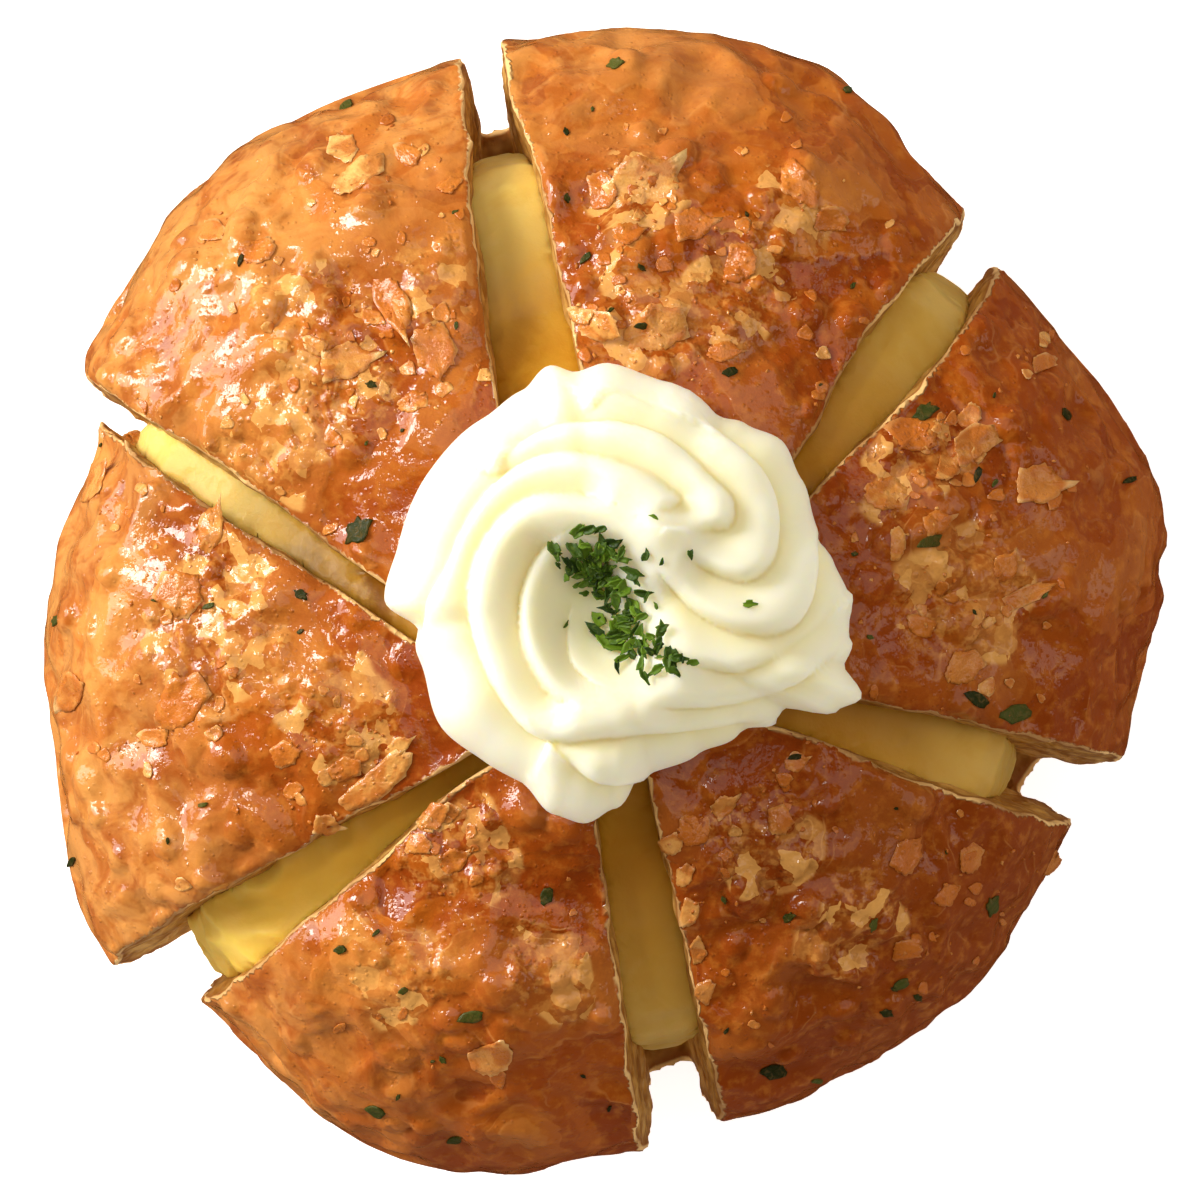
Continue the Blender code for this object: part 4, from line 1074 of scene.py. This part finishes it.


# Colours of the crust: its layers from the lowest up, then what is mixed in over them, with painted light and
# shade among them.
LAYER_COLOURS = (
    (0.29, 0.046, 0.002), (0.47, 0.108, 0.006), (0.37, 0.072, 0.003), (0.50, 0.130, 0.012),
    (0.56, 0.18, 0.028),
)
BURNT, SHADED_SIDE_BROWN, SHADE_BY_SWIRL = (0.28, 0.042, 0.002), (0.235, 0.041, 0.002), (0.26, 0.040, 0.002)
GOLDEN_BAKE_AND_LIGHT, FOOT, LAYER_LIP = (0.80, 0.385, 0.095), (0.42, 0.17, 0.035), (0.80, 0.40, 0.12)
MOTTLE, SPECKLE, SCALE = (0.66, 0.24, 0.03), (0.76, 0.34, 0.07), (0.82, 0.42, 0.11)
CRUMB_DARK, CRUMB_PALE = (0.36, 0.15, 0.026), (0.62, 0.34, 0.085)
WALL_TOP, WALL_RIM = (0.26, 0.08, 0.014), (0.84, 0.52, 0.20)

# Colours of the flakes, the herb and the parsley by tone, and what is mixed in over them.
FLAKE_TONES = ((0.0, (0.46, 0.105, 0.008)), (0.5, (0.62, 0.20, 0.026)), (1.0, (0.88, 0.50, 0.14)))
FLAKE_SPOT, FLAKE_STAIN, FLAKE_RIM = (0.56, 0.17, 0.018), (0.50, 0.125, 0.011), (0.90, 0.58, 0.22)
FLAKE_SHADED = (0.42, 0.105, 0.008)
HERB_TONES = ((0.0, (0.016, 0.018, 0.002)), (0.6, (0.042, 0.052, 0.006)), (1.0, (0.085, 0.090, 0.012)))
HERB_VEIN = (0.17, 0.09, 0.02)
LEAF_TONES = ((0.0, (0.012, 0.028, 0.002)), (0.5, (0.048, 0.100, 0.005)), (1.0, (0.14, 0.24, 0.012)))
LEAF_VEIN = (0.18, 0.25, 0.030)

# Colours of the cream: the swirl, with the painted shade of its creases and the painted light in its dimple,
# and the cream in the cuts.
SWIRL_CLOUDS = ((0.89, 0.855, 0.66), (0.91, 0.885, 0.72))
CREASE, DIMPLE = (0.89, 0.80, 0.40), (0.95, 0.84, 0.40)
SLIT_INNER, SLIT_NARROW_SHADE, SLIT_OUTER = (0.52, 0.215, 0.006), (0.17, 0.055, 0.001), (0.87, 0.65, 0.170)
SLIT_CLOUD, SLIT_LOWER, SLIT_SHADED = (0.66, 0.37, 0.034), (0.86, 0.53, 0.045), (0.46, 0.21, 0.012)


def baked_colour(shade, broad, fine, layer, rough):
    """The glazed crust: layers with pale lips, burnt and golden parts, painted light and shade, speckles,
    scales.
    """
    stops = [(0.0, LAYER_COLOURS[0])]
    for level, lower, upper in zip(LAYER_LEVELS, LAYER_COLOURS, LAYER_COLOURS[1:]):
        stops += [(level + 0.485, lower), (level + 0.505, upper)]
    baked = shade.ramp(shade.plus(layer, 0.5), *stops)
    baked = shade.tint(baked, BURNT, broad, 0.36, 0.66, 0.6, 0.0)
    lit_side = shade.lit_side()
    # Golden on the lit outer flank: partly a golden bake, partly painted light on the side the lamp lights.
    outer = shade.remap(shade.reach, 0.038, 0.056, 0.03, 0.42)
    golden = shade.times(shade.remap(lit_side, -0.02, 0.040), outer)
    patches = shade.noise(190, 3.0, 0.65, 0.8, 9.0)
    golden = shade.times(golden, shade.remap(patches, 0.36, 0.62, 0.30, 1.30))
    baked = shade.mix(golden, baked, GOLDEN_BAKE_AND_LIGHT)
    baked = shade.tint(baked, FOOT, shade.z, 0.003, 0.018, 0.6, 0.0)
    # Painted shade: darker brown on the side away from the lamp, strongest towards negative y.
    dark = shade.times(
        shade.remap(lit_side, -0.050, 0.014, 0.92, 0.0),
        shade.remap(shade.y, -0.03, 0.0, 1.0, 0.42),
    )
    baked = shade.mix(dark, baked, SHADED_SIDE_BROWN)
    # Painted shade: darker crust close round the swirl.
    baked = shade.tint(baked, SHADE_BY_SWIRL, shade.reach, 0.026, 0.041, 0.35, 0.0)
    lips = 0.0
    for level in LAYER_LEVELS:
        beside = shade.math("ABSOLUTE", shade.less(layer, level + 0.016))
        lips = shade.math("MAXIMUM", lips, shade.remap(beside, 0.004, 0.020, 1.0, 0.0))
    patchy = shade.remap(shade.noise(160, 3.0, 0.6, 0.0, 5.0), 0.50, 0.66, 0.02, 0.45)
    patchy = shade.times(patchy, shade.remap(rough, 0.0, 0.5, 0.35, 1.0))
    baked = shade.mix(shade.times(lips, patchy), baked, LAYER_LIP)
    baked = shade.tint(baked, MOTTLE, fine, 0.45, 0.75, 0.0, 0.30)
    speckle = shade.times(rough, shade.remap(shade.noise(900, 2.0, 0.6), 0.46, 0.66, 0.0, 0.40))
    baked = shade.mix(speckle, baked, SPECKLE)
    scale = shade.random_cells(430)
    scaly = shade.times(shade.remap(scale, 0.60, 0.62), shade.remap(rough, 0.25, 0.6))
    scaly = shade.times(scaly, shade.remap(scale, 0.6, 1.0, 0.10, 0.75))
    return shade.mix(scaly, baked, SCALE)


def wall_colour(shade, broad, depth):
    """The crumb in the cuts: dark under the crust, with a pale torn rim in places."""
    grain = shade.remap(shade.noise(380, 2.0, 0.6), 0.35, 0.65)
    crumb = shade.mix(grain, CRUMB_DARK, CRUMB_PALE)
    wall = shade.mix(shade.remap(depth, 0.3, 2.0), WALL_TOP, crumb)
    patchy = shade.remap(broad, 0.38, 0.58, 0.35, 1.0)
    return shade.mix(shade.times(shade.remap(depth, 0.40, 0.70, 1.0, 0.0), patchy), wall, WALL_RIM)


def crust_material():
    shade = Shade("glazed_crust")
    broad = shade.noise(60, 2.0, 0.55, 0.6)
    fine = shade.noise(700, 3.0, 0.6)
    rough, depth = shade.value("rough"), shade.value("cut_depth")
    in_cut = shade.remap(depth, 0.03, 0.12)
    baked = baked_colour(shade, broad, fine, shade.value("layer"), rough)
    colour = shade.mix(in_cut, baked, wall_colour(shade, broad, depth))
    large_beads = shade.times(shade.beads(1100, 0.74), shade.plus(shade.times(rough, 0.12), 0.06))
    beads = shade.plus(large_beads, shade.times(shade.beads(1900, 0.78), 0.08))
    pores = shade.times(shade.remap(shade.cells(520)[0], 0.1, 0.5), in_cut)
    height = shade.plus(shade.plus(shade.times(fine, 0.15), beads), shade.times(pores, 0.3))
    glaze = shade.remap(shade.z, 0.010, 0.028, 0.40, 0.90)
    glaze = shade.times(glaze, shade.remap(in_cut, 0.0, 1.0, 1.0, 0.25))
    glaze = shade.times(glaze, shade.remap(shade.lit_side(), -0.040, 0.005, 0.75, 1.0))
    return shade.finish(
        colour, shade.remap(fine, 0.3, 0.7, 0.42, 0.62), height, 0.9,
        Specular_IOR_Level=0.06, Coat_Weight=glaze, Coat_Roughness=0.045, Coat_IOR=1.45,
    )


def flake_material():
    shade = Shade("dry_flakes")
    tone, rim = shade.value("tone"), shade.value("rim")
    fine = shade.noise(900, 3.0, 0.65)
    grain = shade.noise(3600, 2.0, 0.6)
    colour = shade.tint(shade.ramp(tone, *FLAKE_TONES), FLAKE_SPOT, fine, 0.40, 0.65, 0.0, 0.5)
    colour = shade.tint(colour, FLAKE_STAIN, shade.noise(330, 2.0, 0.5, 0.8), 0.40, 0.60, 0.0, 0.75)
    edge = shade.times(shade.remap(rim, 0.72, 1.0), shade.remap(tone, 0.2, 0.8, 0.15, 0.8))
    colour = shade.mix(edge, colour, FLAKE_RIM)
    shaded = shade.times(
        shade.remap(shade.lit_side(), -0.030, 0.004, 0.60, 0.0),
        shade.remap(shade.y, -0.020, 0.0, 1.0, 0.35),
    )
    colour = shade.mix(shaded, colour, FLAKE_SHADED)
    height = shade.plus(shade.times(fine, 0.10), shade.times(grain, 0.04))
    height = shade.plus(height, shade.times(shade.beads(1400, 0.45), 0.10))
    return shade.finish(
        colour, shade.remap(grain, 0.35, 0.65, 0.25, 0.6), height,
        Specular_IOR_Level=0.2, Coat_Weight=0.65, Coat_Roughness=0.07,
    )


def herb_material():
    shade = Shade("dried_herb")
    vein = shade.noise(1400, 3.0, 0.6, 1.0)
    colour = shade.tint(shade.ramp(shade.value("tone"), *HERB_TONES), HERB_VEIN, vein, 0.45, 0.75, 0.0, 0.5)
    return shade.finish(
        colour, 0.5, shade.times(vein, 0.2), Coat_Weight=0.12, Coat_Roughness=0.10, Specular_IOR_Level=0.10,
    )


def parsley_material():
    shade = Shade("parsley_leaf")
    vein = shade.noise(1100, 2.0, 0.5, 2.0)
    colour = shade.tint(shade.ramp(shade.value("tone"), *LEAF_TONES), LEAF_VEIN, vein, 0.5, 0.8, 0.0, 0.5)
    return shade.finish(
        colour, 0.42, shade.times(vein, 0.12), Specular_IOR_Level=0.2,
        Subsurface_Weight=0.15, Subsurface_Radius=(0.3, 1.0, 0.1), Subsurface_Scale=0.4 * MM,
    )


def swirl_material():
    shade = Shade("whipped_cream")
    colour = shade.mix(shade.remap(shade.noise(60, 2.0), 0.35, 0.65), *SWIRL_CLOUDS)
    # Painted shade: the creases between the ridges are tinted a darker yellow.
    colour = shade.tint(colour, CREASE, shade.value("crease"), 0.20, 0.95, 0.0, 0.60)
    # Painted light: the dimple is tinted yellow for the warm light the cream scatters into it.
    colour = shade.mix(shade.times(shade.value("dimple"), 0.65), colour, DIMPLE)
    return shade.finish(
        colour, 0.42, shade.times(shade.noise(520, 3.0, 0.55), 0.05), Specular_IOR_Level=0.35,
        Subsurface_Weight=1.0, Subsurface_Radius=(1.0, 0.86, 0.52), Subsurface_Scale=3.3 * MM,
    )


def slit_material():
    shade = Shade("smooth_cream")
    lit_side = shade.lit_side()
    # Painted shade: the inner cream of the narrow cut on the lit side is darkened.
    shade_in_narrow_cut = shade.times(shade.remap(lit_side, 0.012, 0.026), shade.remap(shade.y, -0.012, 0.0))
    inner = shade.mix(shade_in_narrow_cut, SLIT_INNER, SLIT_NARROW_SHADE)
    # Darker towards the swirl: partly cream soaked with butter, partly painted shade where the cut is narrow
    # and deep.
    colour = shade.tint(inner, SLIT_OUTER, shade.reach, 0.024, 0.050)
    colour = shade.tint(colour, SLIT_CLOUD, shade.noise(130, 4.0, 0.6, 0.6), 0.38, 0.62, 0.0, 0.4)
    towards_bottom = shade.remap(shade.y, -0.030, -0.008, 0.55, 0.0)
    lower = shade.times(towards_bottom, shade.remap(lit_side, -0.015, 0.008))
    colour = shade.mix(lower, colour, SLIT_LOWER)
    colour = shade.tint(colour, SLIT_SHADED, lit_side, -0.030, 0.012, 0.48, 0.0)
    pits = shade.remap(shade.cells(330)[0], 0.05, 0.4)
    height = shade.plus(shade.times(shade.noise(420, 4.0, 0.6), 0.16), shade.times(pits, 0.10))
    return shade.finish(
        colour, 0.42, height, Specular_IOR_Level=0.2,
        Subsurface_Weight=0.4, Subsurface_Radius=(1.0, 0.6, 0.2), Subsurface_Scale=1.6 * MM,
    )


# Floor, light and camera


FLOOR_SIZE, FLOOR_COLOURS = 6.0, ((0.93, 0.93, 0.93), (0.95, 0.95, 0.95))

# Lights: name, bearing and elevation in degrees, distance and size in m, power in W, and colour.
LIGHTS = (
    ("window_light", 152, 29, 2.6, 0.9, 57, (1.0, 0.985, 0.96)),
    ("top_light", 50, 76, 3.2, 3.2, 35, (1.0, 0.97, 0.91)),
    ("right_light", 2, 27, 2.8, 1.3, 8, (1.0, 0.95, 0.90)),
    ("glint_light", 150, 62, 2.8, 0.35, 9, (1.0, 0.98, 0.95)),
    ("low_light", 162, 13, 2.4, 1.5, 38, (0.97, 0.98, 1.0)),
)
ROOM_COLOUR, ROOM_STRENGTH = (1.0, 0.88, 0.72, 1.0), 0.25


def add_floor():
    deselect()
    bpy.ops.mesh.primitive_plane_add(size=FLOOR_SIZE)
    floor = named("pale_table")
    shade = Shade("pale_table")
    colour = shade.mix(shade.remap(shade.noise(6, 3.0), 0.3, 0.7), *FLOOR_COLOURS)
    material = shade.finish(colour, 0.7, Emission_Color=(1, 1, 1, 1), Emission_Strength=0.75)
    floor.data.materials.append(material)
    floor.visible_glossy = False


def add_light(name, bearing, elevation, distance, size, energy, colour):
    deselect()
    flat = bearing_vector(bearing) * math.cos(math.radians(elevation))
    toward = Vector((*flat, math.sin(math.radians(elevation))))
    bpy.ops.object.light_add(type="AREA", location=toward * distance)
    lamp = bpy.context.object
    lamp.name = name
    lamp.rotation_euler = toward.to_track_quat("Z", "Y").to_euler()
    lamp.data.shape = "SQUARE"
    lamp.data.size = size
    lamp.data.energy = energy
    lamp.data.color = colour
    lamp.visible_camera = False


def add_studio():
    for row in LIGHTS:
        add_light(*row)
    world = bpy.data.worlds.new("soft_room")
    world.use_nodes = True
    background = world.node_tree.nodes["Background"]
    background.inputs["Color"].default_value = ROOM_COLOUR
    background.inputs["Strength"].default_value = ROOM_STRENGTH
    bpy.context.scene.world = world
    world.cycles_visibility.glossy = False
    bpy.context.scene.view_settings.view_transform = "Standard"


def add_camera():
    bpy.ops.object.camera_add(location=(0, 0, CAMERA_LEVEL + CAMERA_HEIGHT), rotation=(0, 0, 0))
    camera = bpy.context.object
    camera.data.sensor_width = CAMERA_SENSOR
    camera.data.lens = CAMERA_SENSOR * CAMERA_HEIGHT / FRAME_WIDTH
    camera.data.clip_start, camera.data.clip_end = CAMERA_RANGE
    bpy.context.scene.camera = camera


def main():
    bread = build_bread()
    finish_piece(bread, crust_material(), "bread")
    crust_skin = skin_of(bread)
    finish_piece(build_slit_cream(), slit_material(), "cream_filling")
    swirl = build_swirl()
    finish_piece(swirl, swirl_material(), "cream_rosette")
    flakes = flake_material()
    finish_piece(build_flakes(crust_skin), flakes)
    finish_piece(build_crumbs(crust_skin), flakes)
    finish_piece(build_herbs(crust_skin), herb_material())
    finish_piece(build_parsley(skin_of(swirl)), parsley_material())
    add_floor()
    add_studio()
    add_camera()


main()
